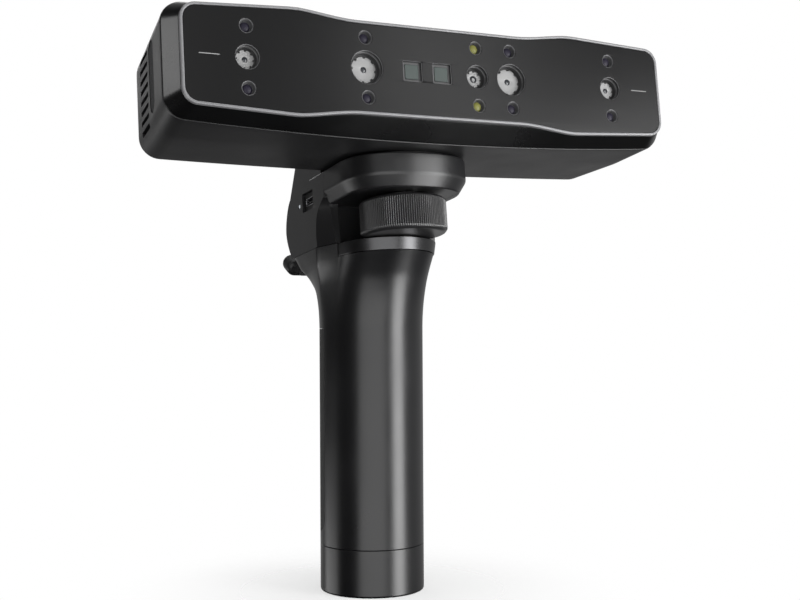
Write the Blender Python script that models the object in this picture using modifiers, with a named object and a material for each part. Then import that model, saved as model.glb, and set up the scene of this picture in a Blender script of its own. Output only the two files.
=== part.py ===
"""A hand-held three-d scanner: a bar-shaped head clamped to a grip, with a phone clamp behind the grip.
The grip stands along +Z with its base at zero and the head looks along -Y. The head is tipped back a little,
so its pieces are modelled in a frame of their own (an empty), with the window panel's middle as its origin."""

import math

import bmesh
import bpy

MM = 0.001
GAP = 0.2 * MM  # left between pieces that touch
CUT = 1.0 * MM  # every cutter runs past the face that it opens by this much
WELD = 0.01 * MM  # points nearer than this become one
TINY_LENGTH = 0.000001 * MM
TINY_SHARE = 0.000001
FINE_STEPS = 64
ROUND_STEPS = 48
COARSE_STEPS = 32
SMALL_STEPS = 24
LEAST_STEPS = 16
ARC_STEPS = 8
CORNER_STEPS = 5
SLOT_CORNER_STEPS = 3
FEW_CORNER_STEPS = 2
SMOOTH_ANGLE = math.radians(32)

# the head's frame: where the middle of its front lies, and how far it is tipped back
HEAD_Y = -63.85 * MM
HEAD_Z = 201.29 * MM
HEAD_TILT = math.radians(7.04)

# the head: half sizes of its front rim, at shares of its half length
HEAD_HALF = 98.6 * MM
RIM_HALF_HEIGHT = 17.35 * MM
RIM_GROWTH = 2.55 * MM
RIM_DROP = 2.25 * MM
RIM_WAIST_SHARE = 0.365
RIM_PEAK_SHARE = 0.578
RIM_CORNER = 6.0 * MM
LEAST_CORNER = 0.8 * MM
RIM_SPANS = 27
# its crease, where the bezel meets the rear housing
CREASE_Y = 9.2 * MM
BEZEL_FLARE = 4.3 * MM
CREASE_HALF = HEAD_HALF + BEZEL_FLARE
CREASE_TOP = 20.9 * MM
CREASE_BOTTOM = 24.4 * MM
CREASE_DROP = 3.7 * MM
CREASE_CORNER = 7.9 * MM
# its rear: the top slopes down, the underside runs down to a flat
FLAT_Y = 30.0 * MM
FLAT_BOTTOM = 24.1 * MM
FLAT_DROP = 1.7 * MM
REAR_Y = 62.1 * MM
END_TAPER = 4.3 * MM
REAR_HALF = CREASE_HALF - END_TAPER
REAR_TOP = 16.8 * MM
REAR_ROUND = 4.6 * MM
WALL = 2.0 * MM
SEAM = 0.3 * MM

# the front: silver rim, window panel and the flange that they rest on
TRIM_FRONT = 0.2 * MM
TRIM_BACK = 1.3 * MM
TRIM_WIDTH = 1.1 * MM
PANEL_BACK = 1.3 * MM
FLANGE_FRONT = 1.5 * MM
FLANGE_BACK = 3.0 * MM
FLANGE_WIDTH = 3.1 * MM
WINDOW_FRONT = 0.2 * MM
WINDOW_BACK = 1.1 * MM
OUTER_LENS_INSET = 23.6 * MM  # from the rim's end
OUTER_LENS_X = HEAD_HALF - OUTER_LENS_INSET
INNER_LENS_X = 30.0 * MM
COLOUR_LENS_X = 15.25 * MM
OUTER_LENS_RADIUS = 4.1 * MM
INNER_LENS_RADIUS = 5.4 * MM
COLOUR_LENS_RADIUS = 3.95 * MM
BARREL_WALL = 1.0 * MM
EYE_RADIUS_SHARE = 0.55
LENS_RECESS = 2.6 * MM
LAMP_RADIUS = 2.65 * MM
LAMP_HEIGHT = 11.1 * MM
LAMP_FRONT = 0.3 * MM
LAMP_DOME = 0.7 * MM
LAMP_DOME_REACH_SHARE = 0.6
LAMP_DOME_FALL_SHARE = 0.25
SQUARE_SIDE = 7.0 * MM
SQUARE_CORNER = 0.4 * MM
SQUARE_XS = (-11.7 * MM, 0.4 * MM)
PROJECTOR_HALF_HEIGHT = 5.6 * MM
PROJECTOR_SIDE = 1.6 * MM
PROJECTOR_CORNER = 0.6 * MM
LAMP_BOARD_FRONT = 4.0 * MM
LAMP_BOARD_BACK = 5.2 * MM
BENCH_FRONT = 12.0 * MM
BENCH_BACK = 14.5 * MM
SINK_HALF = 40.0 * MM
SINK_HALF_HEIGHT = 12.0 * MM
SINK_BASE = 2.2 * MM
SINK_DEPTH = 10.0 * MM
SINK_FINS = 9
FIN_THICKNESS = 1.6 * MM
BOARD_END_INSET = 22.6 * MM  # from the rim's end
BOARD_HALF = HEAD_HALF - BOARD_END_INSET
BOARD_CORNER = 1.0 * MM
BOARD_TOP = 10.0 * MM
BOARD_BOTTOM = -11.6 * MM
BOARD_FRONT = 30.0 * MM
BOARD_BACK = 31.6 * MM
POST_RADIUS = 2.6 * MM
POST_END_INSET = 32.6 * MM  # from the rim's end
POST_X = HEAD_HALF - POST_END_INSET
POST_ZS = (-8.0 * MM, 5.5 * MM)

# the grilles in the head's two ends
GRILLE_FRONT = 36.3 * MM
GRILLE_BACK = 48.0 * MM
GRILLE_TOP = 11.6 * MM
GRILLE_PITCH = 3.85 * MM
GRILLE_SLOTS = 8
GRILLE_SLOT = 1.6 * MM
SLOT_ROUND_SHARE = 0.476  # of a slot's width
STADIUM_ROUND_SHARE = 0.999
GROOVE_FRONT = 25.0 * MM
GROOVE_BACK = 31.4 * MM
GROOVE_TOP = 12.7 * MM
GROOVE_BOTTOM = -13.5 * MM
GROOVE_FLOOR = 2.4 * MM

# the head's rear: scan button, light and data socket
BUTTON_RADIUS = 6.0 * MM
BUTTON_CLEARANCE = 0.3 * MM
BUTTON_FLANGE = 1.2 * MM
BUTTON_FLANGE_THICKNESS = 1.2 * MM
BUTTON_STAND = 0.8 * MM
BUTTON_X = -40.0 * MM
BUTTON_Z = -3.0 * MM
BUTTON_DISH = 0.5 * MM
DISH_REACH_SHARE = 0.7
DISH_RISE_SHARE = 0.333
HEAD_SOCKET_X = 40.0 * MM
SOCKET_HALF_WIDTH = 4.5 * MM
SOCKET_HALF_HEIGHT = 1.6 * MM
SOCKET_DEPTH = 7.0 * MM
SOCKET_WALL = 0.35 * MM
TONGUE_HALF_WIDTH = 3.3 * MM
TONGUE_HALF_HEIGHT = 0.35 * MM

# the clamp between the head and the grip, on one line square to the head's underside
CLAMP_Y = 38.75 * MM
SCREW_RADIUS = 3.1 * MM
SCREW_TOP = -14.5 * MM
SCREW_CHAMFER = 0.8 * MM
INSERT_RADIUS = 5.2 * MM
INSERT_TOP = -13.5 * MM
BOSS_RADIUS = 8.5 * MM
BOSS_TOP = -12.0 * MM
PAD_TOP = -24.35 * MM
PAD_BOTTOM = -24.9 * MM
PAD_RADIUS = 19.0 * MM
PAD_DEPTH_HALF = 19.0 * MM
PLATFORM_TOP = -25.1 * MM
PLATFORM_BAND = -33.2 * MM
PLATFORM_BOTTOM = -37.9 * MM
PLATFORM_INSET = 3.0 * MM
PLATFORM_EDGE = 0.4 * MM
PLATFORM_STEPS = 24
PLATFORM_CENTRE_Y = 40.7 * MM
PLATFORM_DEPTH = 22.3 * MM
PLATFORM_POWER = 2.4
PLATFORM_REAR_Y = 62.0 * MM
KNOB_RADIUS = 17.1 * MM
KNOB_TOP = -38.2 * MM
KNURL_TOP = -40.6 * MM
KNURL_BOTTOM = -52.3 * MM
KNOB_BOTTOM = -53.4 * MM
KNOB_SHOULDER = 2.0 * MM
KNOB_EDGE = 1.2 * MM
COLLAR_Y = 59.0 * MM
COLLAR_TOP = -53.95 * MM
COLLAR_BOTTOM = -58.94 * MM
COLLAR_TOP_RADIUS = 21.55 * MM
COLLAR_BOTTOM_RADIUS = 20.56 * MM
COLLAR_BORE = 15.0 * MM

# the grip
GRIP_RADIUS = 21.3 * MM
CAP_TOP = 19.0 * MM
CHEEK_X = 26.1 * MM
CORE_X = 24.0 * MM
GRIP_WALL = 2.2 * MM
GRIP_STRAIGHT_TOP = 108.0 * MM
BORE_TOP = 117.0 * MM
# how the round grip grows into the clamp's body: heights, and how far front and rear have gone by then
FLARE_HEIGHTS = (112.0 * MM, 116.0 * MM, 120.0 * MM, 124.0 * MM, 127.0 * MM, 130.0 * MM, 132.5 * MM)
FLARE_FRONT_SHARES = (0.02, 0.08, 0.17, 0.31, 0.43, 0.57, 0.72)
FLARE_REAR_SHARES = (0.03, 0.08, 0.15, 0.25, 0.34, 0.46, 0.58)
FLARE_TOP_REAR_SHARE = 0.8
FLARE_POINTS = 72
COLLAR_ARC_STEPS = 14
BODY_CENTRE_Y = -7.0 * MM
# the body's outline where the grip ends, one half of it, from the collar's arc to the rear
BODY_SIDE_YS = (-15.8 * MM, -5.0 * MM, 16.5 * MM)
BODY_SIDE_XS = (21.4 * MM, 26.1 * MM, 26.1 * MM)
BODY_REAR_X = 20.5 * MM
BODY_REAR_Y = 22.0 * MM
BODY_BACK_Y = 24.0 * MM
# the cradle's side, seen from the left: forward and rear points, upwards
SPINE_FRONT_YS = (-16.1 * MM, -11.1 * MM, -11.1 * MM)
SPINE_FRONT_ZS = (138.0 * MM, 155.5 * MM, 169.3 * MM)
SPINE_REAR_YS = (25.4 * MM, 28.0 * MM, 29.8 * MM, 30.2 * MM, 29.6 * MM, 28.2 * MM)
SPINE_REAR_ZS = (139.2 * MM, 142.6 * MM, 146.4 * MM, 150.4 * MM, 155.0 * MM, 158.4 * MM)
SPINE_FOOT_Y = 20.0 * MM
SPINE_FOOT_Z = 134.0 * MM
SPINE_TOP_Y = -10.0 * MM
SPINE_TOP_Z = 169.3 * MM
# each cheek's front crease, upwards, and the line that it slants forward to
CREASE_HEIGHTS = (
    130.0 * MM, 137.0 * MM, 143.0 * MM, 149.0 * MM, 152.0 * MM, 154.5 * MM, 157.0 * MM, 159.5 * MM, 162.0 * MM
)
CREASE_YS = (
    -8.6 * MM, -6.7 * MM, -5.0 * MM, -4.6 * MM, -5.2 * MM, -6.5 * MM, -9.0 * MM, -12.6 * MM, -17.5 * MM
)
CORNER_FRONT_X = 21.9 * MM
CORNER_FRONT_Y = -14.6 * MM
NOTCH_HALF_WIDTH = 20.4 * MM
NOTCH_BACK_Y = 60.6 * MM
NOTCH_BITE = 0.05 * MM  # how far the notch cuts into the platform's chamfer
# the upright behind the head
UPRIGHT_FRONT_Y = 1.5 * MM
UPRIGHT_LOW_Z = 160.0 * MM
UPRIGHT_FOOT_Y = 24.0 * MM
UPRIGHT_TOP_Z = 186.0 * MM
UPRIGHT_EDGE = 3.0 * MM
# what fills the grip
INLAY_DEPTH = 0.9 * MM
INLAY_Y = -0.7 * MM
INLAY_LOW = 24.4 * MM
INLAY_HIGH = 107.0 * MM
INLAY_CORNER = 7.0 * MM
INLAY_GAP = 0.15 * MM
CAP_EDGE = 0.8 * MM
SPIGOT_TOP = 25.0 * MM
INSERT_DEPTH = 10.0 * MM
BASE_INSERT_RADIUS = 6.0 * MM
INSERT_BORE = 3.3 * MM
HOLDER_TOP = 104.0 * MM
HOLDER_FLOOR = 2.0 * MM
CELL_RADIUS = 10.5 * MM
CELL_LENGTH = 70.0 * MM
CELL_CAP_RADIUS = 4.0 * MM
CELL_CAP = 1.5 * MM
POWER_BOARD = 1.6 * MM
# data socket and light in the left cheek
PORT_Y = 4.5 * MM
PORT_Z = 159.2 * MM
PORT_HALF_LENGTH = 4.9 * MM
PORT_HALF_HEIGHT = 3.1 * MM
PORT_DEPTH = 8.0 * MM
PORT_RECESS = 0.4 * MM
PORT_WALL = 0.7 * MM
PORT_CORNER = 1.2 * MM
TONGUE_CORNER = 0.2 * MM
PORT_TONGUE_HALF = 3.4 * MM
LIGHT_Y = 13.9 * MM
LIGHT_Z = 157.7 * MM
LIGHT_RADIUS = 1.0 * MM
LIGHT_DEPTH = 2.0 * MM

# the phone clamp, in a frame leaned forward with the upright's rear face
CLAMP_LEAN = math.radians(25.1)
CLAMP_FRAME_Y = 25.0 * MM
CLAMP_FRAME_Z = 172.5 * MM
BACK_HALF_WIDTH = 14.0 * MM
BACK_THICKNESS = 4.2 * MM
BACK_TOP = 20.0 * MM
BACK_CORNER = 1.2 * MM
# the raised field that a phone's back rests on, between the two pads
SEAT_RISE = 0.6 * MM
SEAT_INSET = 2.0 * MM
SEAT_CORNER = 2.0 * MM
JAW_LOW = -47.8 * MM
JAW_HEIGHT = 7.6 * MM
JAW_HALF_WIDTH = 18.6 * MM
JAW_REACH = 10.8 * MM
JAW_ROUND = 1.4 * MM
JAW_INNER = 1.0 * MM
STEM_HALF_WIDTH = 7.0 * MM
STEM_THICKNESS = 2.4 * MM
STEM_LENGTH = 44.0 * MM
STEM_CLEARANCE = 0.25 * MM
TRAVEL = 25.0 * MM
JAW_PAD = 1.4 * MM
JAW_PAD_HALF_WIDTH = 13.0 * MM
JAW_PAD_INSET = 1.0 * MM
JAW_PAD_CORNER = 0.6 * MM


def clear_scene():
    for obj in list(bpy.data.objects):
        bpy.data.objects.remove(obj, do_unlink=True)
    for mesh in list(bpy.data.meshes):
        bpy.data.meshes.remove(mesh)


def new_collection(name, helper=False):
    found = bpy.data.collections.new(name)
    bpy.context.scene.collection.children.link(found)
    found.hide_render = helper
    return found


def look(name, colour, roughness, metallic=0.0, transmission=0.0):
    """One Principled material."""
    made = bpy.data.materials.new(name)
    made.use_nodes = True
    shader = made.node_tree.nodes["Principled BSDF"]
    shader.inputs["Base Color"].default_value = (*colour, 1.0)
    shader.inputs["Roughness"].default_value = roughness
    shader.inputs["Metallic"].default_value = metallic
    shader.inputs["Transmission Weight"].default_value = transmission
    made.diffuse_color = (*colour, 1.0)
    return made


def finish(obj, colour):
    """Smooth shading with sharp edges, a material of its own, and the part's collection."""
    obj.data.shade_smooth()
    obj.data.set_sharp_from_angle(angle=SMOOTH_ANGLE)
    obj.data.materials.append(colour)
    PART.objects.link(obj)
    return obj


def helper(obj):
    obj.display_type = "WIRE"
    obj.hide_render = True
    HELPERS.objects.link(obj)
    return obj


def stand(obj, frame, place=(0.0, 0.0, 0.0), turn=0.0):
    obj.parent = frame
    obj.location = place
    obj.rotation_euler = (turn, 0.0, 0.0)
    return obj


def loft(name, rings):
    """A closed body through rings of equally many points."""
    verts = [point for ring in rings for point in ring]
    count = len(rings[0])
    faces = []
    for level in range(len(rings) - 1):
        for i in range(count):
            near = level * count + i
            beside = level * count + (i + 1) % count
            faces.append((near, beside, beside + count, near + count))
    faces.append(tuple(range(count))[::-1])
    faces.append(tuple(range((len(rings) - 1) * count, len(rings) * count)))
    mesh = bpy.data.meshes.new(name)
    mesh.from_pydata(verts, [], faces)
    face_outwards(mesh)
    return bpy.data.objects.new(name, mesh)


def face_outwards(mesh, weld=0.0):
    work = bmesh.new()
    work.from_mesh(mesh)
    if weld:
        bmesh.ops.remove_doubles(work, verts=work.verts, dist=weld)
    bmesh.ops.recalc_face_normals(work, faces=work.faces)
    work.to_mesh(mesh)
    work.free()


def prism(name, outlines, low, high, axis="Z"):
    """Flat outlines, the inner ones as holes, thickened from low to high along one axis.
    Outlines give (x, y) for axis Z, (x, z) for axis Y and (y, z) for axis X."""
    curve = bpy.data.curves.new(name, "CURVE")
    curve.dimensions = "2D"
    curve.fill_mode = "BOTH"
    curve.extrude = (high - low) / 2
    for outline in outlines:
        spline = curve.splines.new("POLY")
        spline.points.add(len(outline) - 1)
        for point, (u, v) in zip(spline.points, outline):
            point.co = (u, v, 0.0, 1.0)
        spline.use_cyclic_u = True
    drawn = bpy.data.objects.new(name, curve)
    bpy.context.scene.collection.objects.link(drawn)
    bpy.context.view_layer.update()
    graph = bpy.context.evaluated_depsgraph_get()
    mesh = bpy.data.meshes.new_from_object(drawn.evaluated_get(graph))
    bpy.data.objects.remove(drawn)
    bpy.data.curves.remove(curve)
    middle = (low + high) / 2
    for vertex in mesh.vertices:
        u, v, w = vertex.co
        if axis == "Z":
            vertex.co = (u, v, w + middle)
        elif axis == "Y":
            vertex.co = (u, w + middle, v)
        else:
            vertex.co = (w + middle, u, v)
    face_outwards(mesh, WELD)
    return bpy.data.objects.new(name, mesh)


def box(name, low, high):
    corners = [(low[0], low[1]), (high[0], low[1]), (high[0], high[1]), (low[0], high[1])]
    return prism(name, [corners], low[2], high[2])


def turned(name, profile, steps=ROUND_STEPS, ring=False):
    """A Screw round the object's own Z: (radius, height) pairs down the outer side; a ring's profile closes."""
    mesh = bpy.data.meshes.new(name)
    edges = [(i, i + 1) for i in range(len(profile) - 1)]
    if ring:
        edges.append((len(profile) - 1, 0))
    mesh.from_pydata([(radius, 0.0, height) for radius, height in profile], edges, [])
    obj = bpy.data.objects.new(name, mesh)
    screw = obj.modifiers.new("turn", "SCREW")
    screw.axis = "Z"
    screw.steps = steps
    screw.render_steps = steps
    screw.use_merge_vertices = True
    screw.merge_threshold = WELD
    screw.use_smooth_shade = True
    return obj


def circle(x, y, radius, steps=SMALL_STEPS):
    return [
        (x + radius * math.cos(math.tau * i / steps), y + radius * math.sin(math.tau * i / steps))
        for i in range(steps)
    ]


def rounded(left, low, right, high, radius, steps=CORNER_STEPS):
    """A rectangle's outline with rounded corners."""
    corners = ((right, low, -1), (right, high, 0), (left, high, 1), (left, low, 2))
    found = []
    for x, y, quarter in corners:
        middle_x = x - radius if x == right else x + radius
        middle_y = y - radius if y == high else y + radius
        for i in range(steps + 1):
            angle = (quarter + i / steps) * math.pi / 2
            found.append((middle_x + radius * math.cos(angle), middle_y + radius * math.sin(angle)))
    return found


def combine(obj, other, operation="DIFFERENCE"):
    step = obj.modifiers.new(other.name, "BOOLEAN")
    step.operation = operation
    step.solver = "EXACT"
    step.object = other
    return obj


def bevel(obj, width, segments=3, angle=math.radians(40)):
    step = obj.modifiers.new("edges", "BEVEL")
    step.width = width
    step.segments = segments
    step.limit_method = "ANGLE"
    step.angle_limit = angle
    step.harden_normals = False
    return obj


def mix(first, second, share):
    return first + (second - first) * share


def ease(share):
    share = min(max(share, 0.0), 1.0)
    return share * share * (3 - 2 * share)


def rim_half_height(share):
    """Half height of the front rim at a share of its half length: waist, bump, then a straight taper."""
    rise = ease((share - RIM_WAIST_SHARE) / (RIM_PEAK_SHARE - RIM_WAIST_SHARE))
    fall = max(share - RIM_PEAK_SHARE, 0.0) / (1 - RIM_PEAK_SHARE)
    return RIM_HALF_HEIGHT + RIM_GROWTH * rise - RIM_DROP * fall


def head_outline(y, inset=0.0):
    """The head's outline (x, z) at depth y, moved inwards by an inset."""
    share = min(max(y - TRIM_BACK, 0.0) / (CREASE_Y - TRIM_BACK), 1.0)
    corner = mix(RIM_CORNER, CREASE_CORNER, share)
    back = max(y - CREASE_Y, 0.0)
    half = mix(HEAD_HALF, CREASE_HALF, share)
    half = mix(half, REAR_HALF, back / (REAR_Y - CREASE_Y)) - inset
    slope = min(back / (FLAT_Y - CREASE_Y), 1.0)
    top_plain = mix(CREASE_TOP, REAR_TOP, back / (REAR_Y - CREASE_Y))
    low_plain = mix(CREASE_BOTTOM, FLAT_BOTTOM, slope)
    drop = mix(CREASE_DROP, FLAT_DROP, slope)
    corner = max(corner - inset, LEAST_CORNER)
    reach = half - corner

    def top(x):
        return mix(rim_half_height(abs(x) / HEAD_HALF), top_plain, share) - inset

    def low(x):
        bow = drop * (x / CREASE_HALF) ** 2
        return -mix(rim_half_height(abs(x) / HEAD_HALF), low_plain - bow, share) + inset

    found = []
    for side, edge, first in ((1, low, -1), (1, top, 0), (-1, top, 1), (-1, low, 2)):
        level = edge(side * reach)
        middle = level + corner if edge is low else level - corner
        for i in range(6):
            angle = (first + i / CORNER_STEPS) * math.pi / 2
            found.append((side * reach + corner * math.cos(angle), middle + corner * math.sin(angle)))
        if first in (0, 2):
            for i in range(1, 27):
                x = mix(side * reach, -side * reach, i / RIM_SPANS)
                found.append((x, edge(x)))
    return found


def head_loft(name, stations):
    """A body through the head's outlines at (depth, inset) pairs."""
    return loft(name, [[(x, y, z) for x, z in head_outline(y, inset)] for y, inset in stations])


def rounded_rear(inset):
    """(depth, inset) pairs round the head's rear edges."""
    return [
        (
            REAR_Y - REAR_ROUND + (REAR_ROUND - inset) * math.sin(turn),
            inset + (REAR_ROUND - inset) * (1 - math.cos(turn)),
        )
        for turn in (0.0, math.pi / 8, math.pi / 4, 3 * math.pi / 8, math.pi / 2)
    ]


def windows():
    """(name, x, z, radius) of the round windows."""
    return [
        ("left_outer", -OUTER_LENS_X, 0.0, OUTER_LENS_RADIUS),
        ("left_inner", -INNER_LENS_X, 0.0, INNER_LENS_RADIUS),
        ("colour", COLOUR_LENS_X, 0.0, COLOUR_LENS_RADIUS),
        ("right_inner", INNER_LENS_X, 0.0, INNER_LENS_RADIUS),
        ("right_outer", OUTER_LENS_X, 0.0, OUTER_LENS_RADIUS),
    ]


def lamps():
    """(name, x, z) of the round lamps above and below the cameras."""
    found = []
    columns = (
        ("infrared_a", -OUTER_LENS_X),
        ("infrared_b", -INNER_LENS_X),
        ("white", COLOUR_LENS_X),
        ("infrared_c", INNER_LENS_X),
        ("infrared_d", OUTER_LENS_X),
    )
    for name, x in columns:
        found.append((name + "_upper_lamp", x, LAMP_HEIGHT))
        found.append((name + "_lower_lamp", x, -LAMP_HEIGHT))
    return found


def make_head_front():
    bezel = head_loft("front_bezel", [(FLANGE_FRONT, 0.0), (CREASE_Y / 2, 0.0), (CREASE_Y - SEAM / 2, 0.0)])
    inner = [(FLANGE_BACK, WALL), (CREASE_Y / 2, WALL), (CREASE_Y + CUT, WALL)]
    combine(bezel, helper(stand(head_loft("bezel_room", inner), HEAD)))
    opening = [(-CUT, FLANGE_WIDTH), (FLANGE_BACK + CUT, FLANGE_WIDTH)]
    combine(bezel, helper(stand(head_loft("bezel_opening", opening), HEAD)))
    finish(stand(bezel, HEAD), look("bezel_black", (0.025, 0.025, 0.027), 0.42))

    outer = head_outline(0.0)
    inner = head_outline(0.0, TRIM_WIDTH)
    trim = prism("rim_trim", [outer, inner], -TRIM_FRONT, TRIM_BACK, "Y")
    finish(stand(trim, HEAD), look("trim_silver", (0.62, 0.63, 0.64), 0.28, 1.0))

    holes = [circle(x, z, radius) for name, x, z, radius in windows()]
    holes += [circle(x, z, LAMP_RADIUS) for name, x, z in lamps()]
    half = SQUARE_SIDE / 2
    holes += [rounded(x - half, -half, x + half, half, SQUARE_CORNER, FEW_CORNER_STEPS) for x in SQUARE_XS]
    sheet = head_outline(0.0, TRIM_WIDTH + GAP)
    panel = prism("front_panel", [sheet] + holes, 0.0, PANEL_BACK, "Y")
    finish(stand(panel, HEAD), look("panel_gloss", (0.012, 0.012, 0.013), 0.16))

    glass = look("window_glass", (0.05, 0.055, 0.06), 0.05)
    square_glass = look("square_glass", (0.03, 0.04, 0.04), 0.08)
    for name, x, z, radius in windows():
        disc = prism(name + "_window", [circle(x, z, radius - GAP)], WINDOW_FRONT, WINDOW_BACK, "Y")
        finish(stand(disc, HEAD), glass.copy())
    for side, x in zip(("left", "right"), SQUARE_XS):
        half = SQUARE_SIDE / 2 - GAP
        outline = rounded(x - half, -half, x + half, half, SQUARE_CORNER - GAP, FEW_CORNER_STEPS)
        pane = prism(side + "_projector_window", [outline], WINDOW_FRONT, WINDOW_BACK, "Y")
        finish(stand(pane, HEAD), square_glass.copy())


def make_head_inside():
    for name, x, z, radius in windows():
        reach = radius + BARREL_WALL
        low = -(BENCH_FRONT - GAP)
        high = -(PANEL_BACK + GAP)
        eye = radius * EYE_RADIUS_SHARE
        profile = [(0.0, high - LENS_RECESS), (eye, high - LENS_RECESS), (radius, high), (reach, high)]
        profile += [(reach, low), (0.0, low)]
        barrel = turned(name + "_barrel", profile, SMALL_STEPS)
        stand(barrel, HEAD, (x, 0.0, z), math.pi / 2)
        finish(barrel, look(name + "_barrel_alloy", (0.35, 0.36, 0.37), 0.35, 0.9))
    for name, x, z in lamps():
        reach = LAMP_RADIUS - GAP
        low = -(LAMP_BOARD_FRONT - GAP)
        shoulder = -LAMP_FRONT - LAMP_DOME * LAMP_DOME_FALL_SHARE
        profile = [(0.0, -LAMP_FRONT), (reach * LAMP_DOME_REACH_SHARE, shoulder)]
        profile += [(reach, -LAMP_FRONT - LAMP_DOME), (reach, low), (0.0, low)]
        lamp = turned(name, profile, SMALL_STEPS)
        stand(lamp, HEAD, (x, 0.0, z), math.pi / 2)
        colour = (0.75, 0.68, 0.25) if name.startswith("white") else (0.04, 0.03, 0.09)
        finish(lamp, look(name + "_lens", colour, 0.15))

    left = SQUARE_XS[0] - SQUARE_SIDE / 2 - PROJECTOR_SIDE
    right = SQUARE_XS[1] + SQUARE_SIDE / 2 + PROJECTOR_SIDE
    tall = PROJECTOR_HALF_HEIGHT
    outline = rounded(left, -tall, right, tall, PROJECTOR_CORNER)
    projector = prism("projector", [outline], PANEL_BACK + GAP, BENCH_FRONT - GAP, "Y")
    half = SQUARE_SIDE / 2 - 2 * GAP
    corner = SQUARE_CORNER - GAP
    for x in SQUARE_XS:
        throat = rounded(x - half, -half, x + half, half, corner, FEW_CORNER_STEPS)
        cutter = prism("projector_throat", [throat], -CUT, PANEL_BACK + LENS_RECESS, "Y")
        combine(projector, helper(stand(cutter, HEAD)))
    finish(stand(projector, HEAD), look("projector_alloy", (0.2, 0.2, 0.21), 0.4, 0.8))

    outline = head_outline(LAMP_BOARD_FRONT, WALL + GAP)
    holes = [circle(x, z, radius + BARREL_WALL + GAP) for name, x, z, radius in windows() if name != "colour"]
    colour_reach = COLOUR_LENS_RADIUS + BARREL_WALL + GAP
    holes.append(circle(COLOUR_LENS_X, 0.0, colour_reach))
    holes.append(rounded(left - GAP, -tall - GAP, right + GAP, tall + GAP, PROJECTOR_CORNER))
    board = prism("lamp_board", [outline] + holes, LAMP_BOARD_FRONT, LAMP_BOARD_BACK, "Y")
    finish(stand(board, HEAD), look("lamp_board_green", (0.02, 0.12, 0.05), 0.5))

    outline = head_outline((BENCH_FRONT + BENCH_BACK) / 2, WALL + 2 * GAP)
    bench = prism("optical_bench", [outline], BENCH_FRONT, BENCH_BACK, "Y")
    finish(stand(bench, HEAD), look("bench_alloy", (0.55, 0.56, 0.57), 0.4, 1.0))

    base = BENCH_BACK + GAP
    comb = [(SINK_HALF, base), (-SINK_HALF, base)]
    pitch = (2 * SINK_HALF - FIN_THICKNESS) / (SINK_FINS - 1)
    for i in range(SINK_FINS):
        start = -SINK_HALF + i * pitch
        comb.append((start, base + SINK_DEPTH))
        comb.append((start + FIN_THICKNESS, base + SINK_DEPTH))
        if i < SINK_FINS - 1:
            comb.append((start + FIN_THICKNESS, base + SINK_BASE))
            comb.append((start + pitch, base + SINK_BASE))
    sink = prism("heat_sink", [comb], -SINK_HALF_HEIGHT, SINK_HALF_HEIGHT)
    finish(stand(sink, HEAD), look("sink_alloy", (0.5, 0.51, 0.52), 0.35, 1.0))

    outline = rounded(-BOARD_HALF, BOARD_BOTTOM, BOARD_HALF, BOARD_TOP, BOARD_CORNER)
    board = prism("main_board", [outline], BOARD_FRONT, BOARD_BACK, "Y")
    finish(stand(board, HEAD), look("board_green", (0.02, 0.14, 0.06), 0.5))


def grille_slots(side):
    """Level slots through one end of the head, as one cutter."""
    slots = []
    for i in range(GRILLE_SLOTS):
        top = GRILLE_TOP - GRILLE_PITCH * i
        corner = GRILLE_SLOT * SLOT_ROUND_SHARE
        slots.append(rounded(GRILLE_FRONT, top - GRILLE_SLOT, GRILLE_BACK, top, corner, SLOT_CORNER_STEPS))
    low, high = sorted((side * (CREASE_HALF + CUT), side * (REAR_HALF - WALL - CUT)))
    return prism("grille_slots", slots, low, high, "X")


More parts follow.
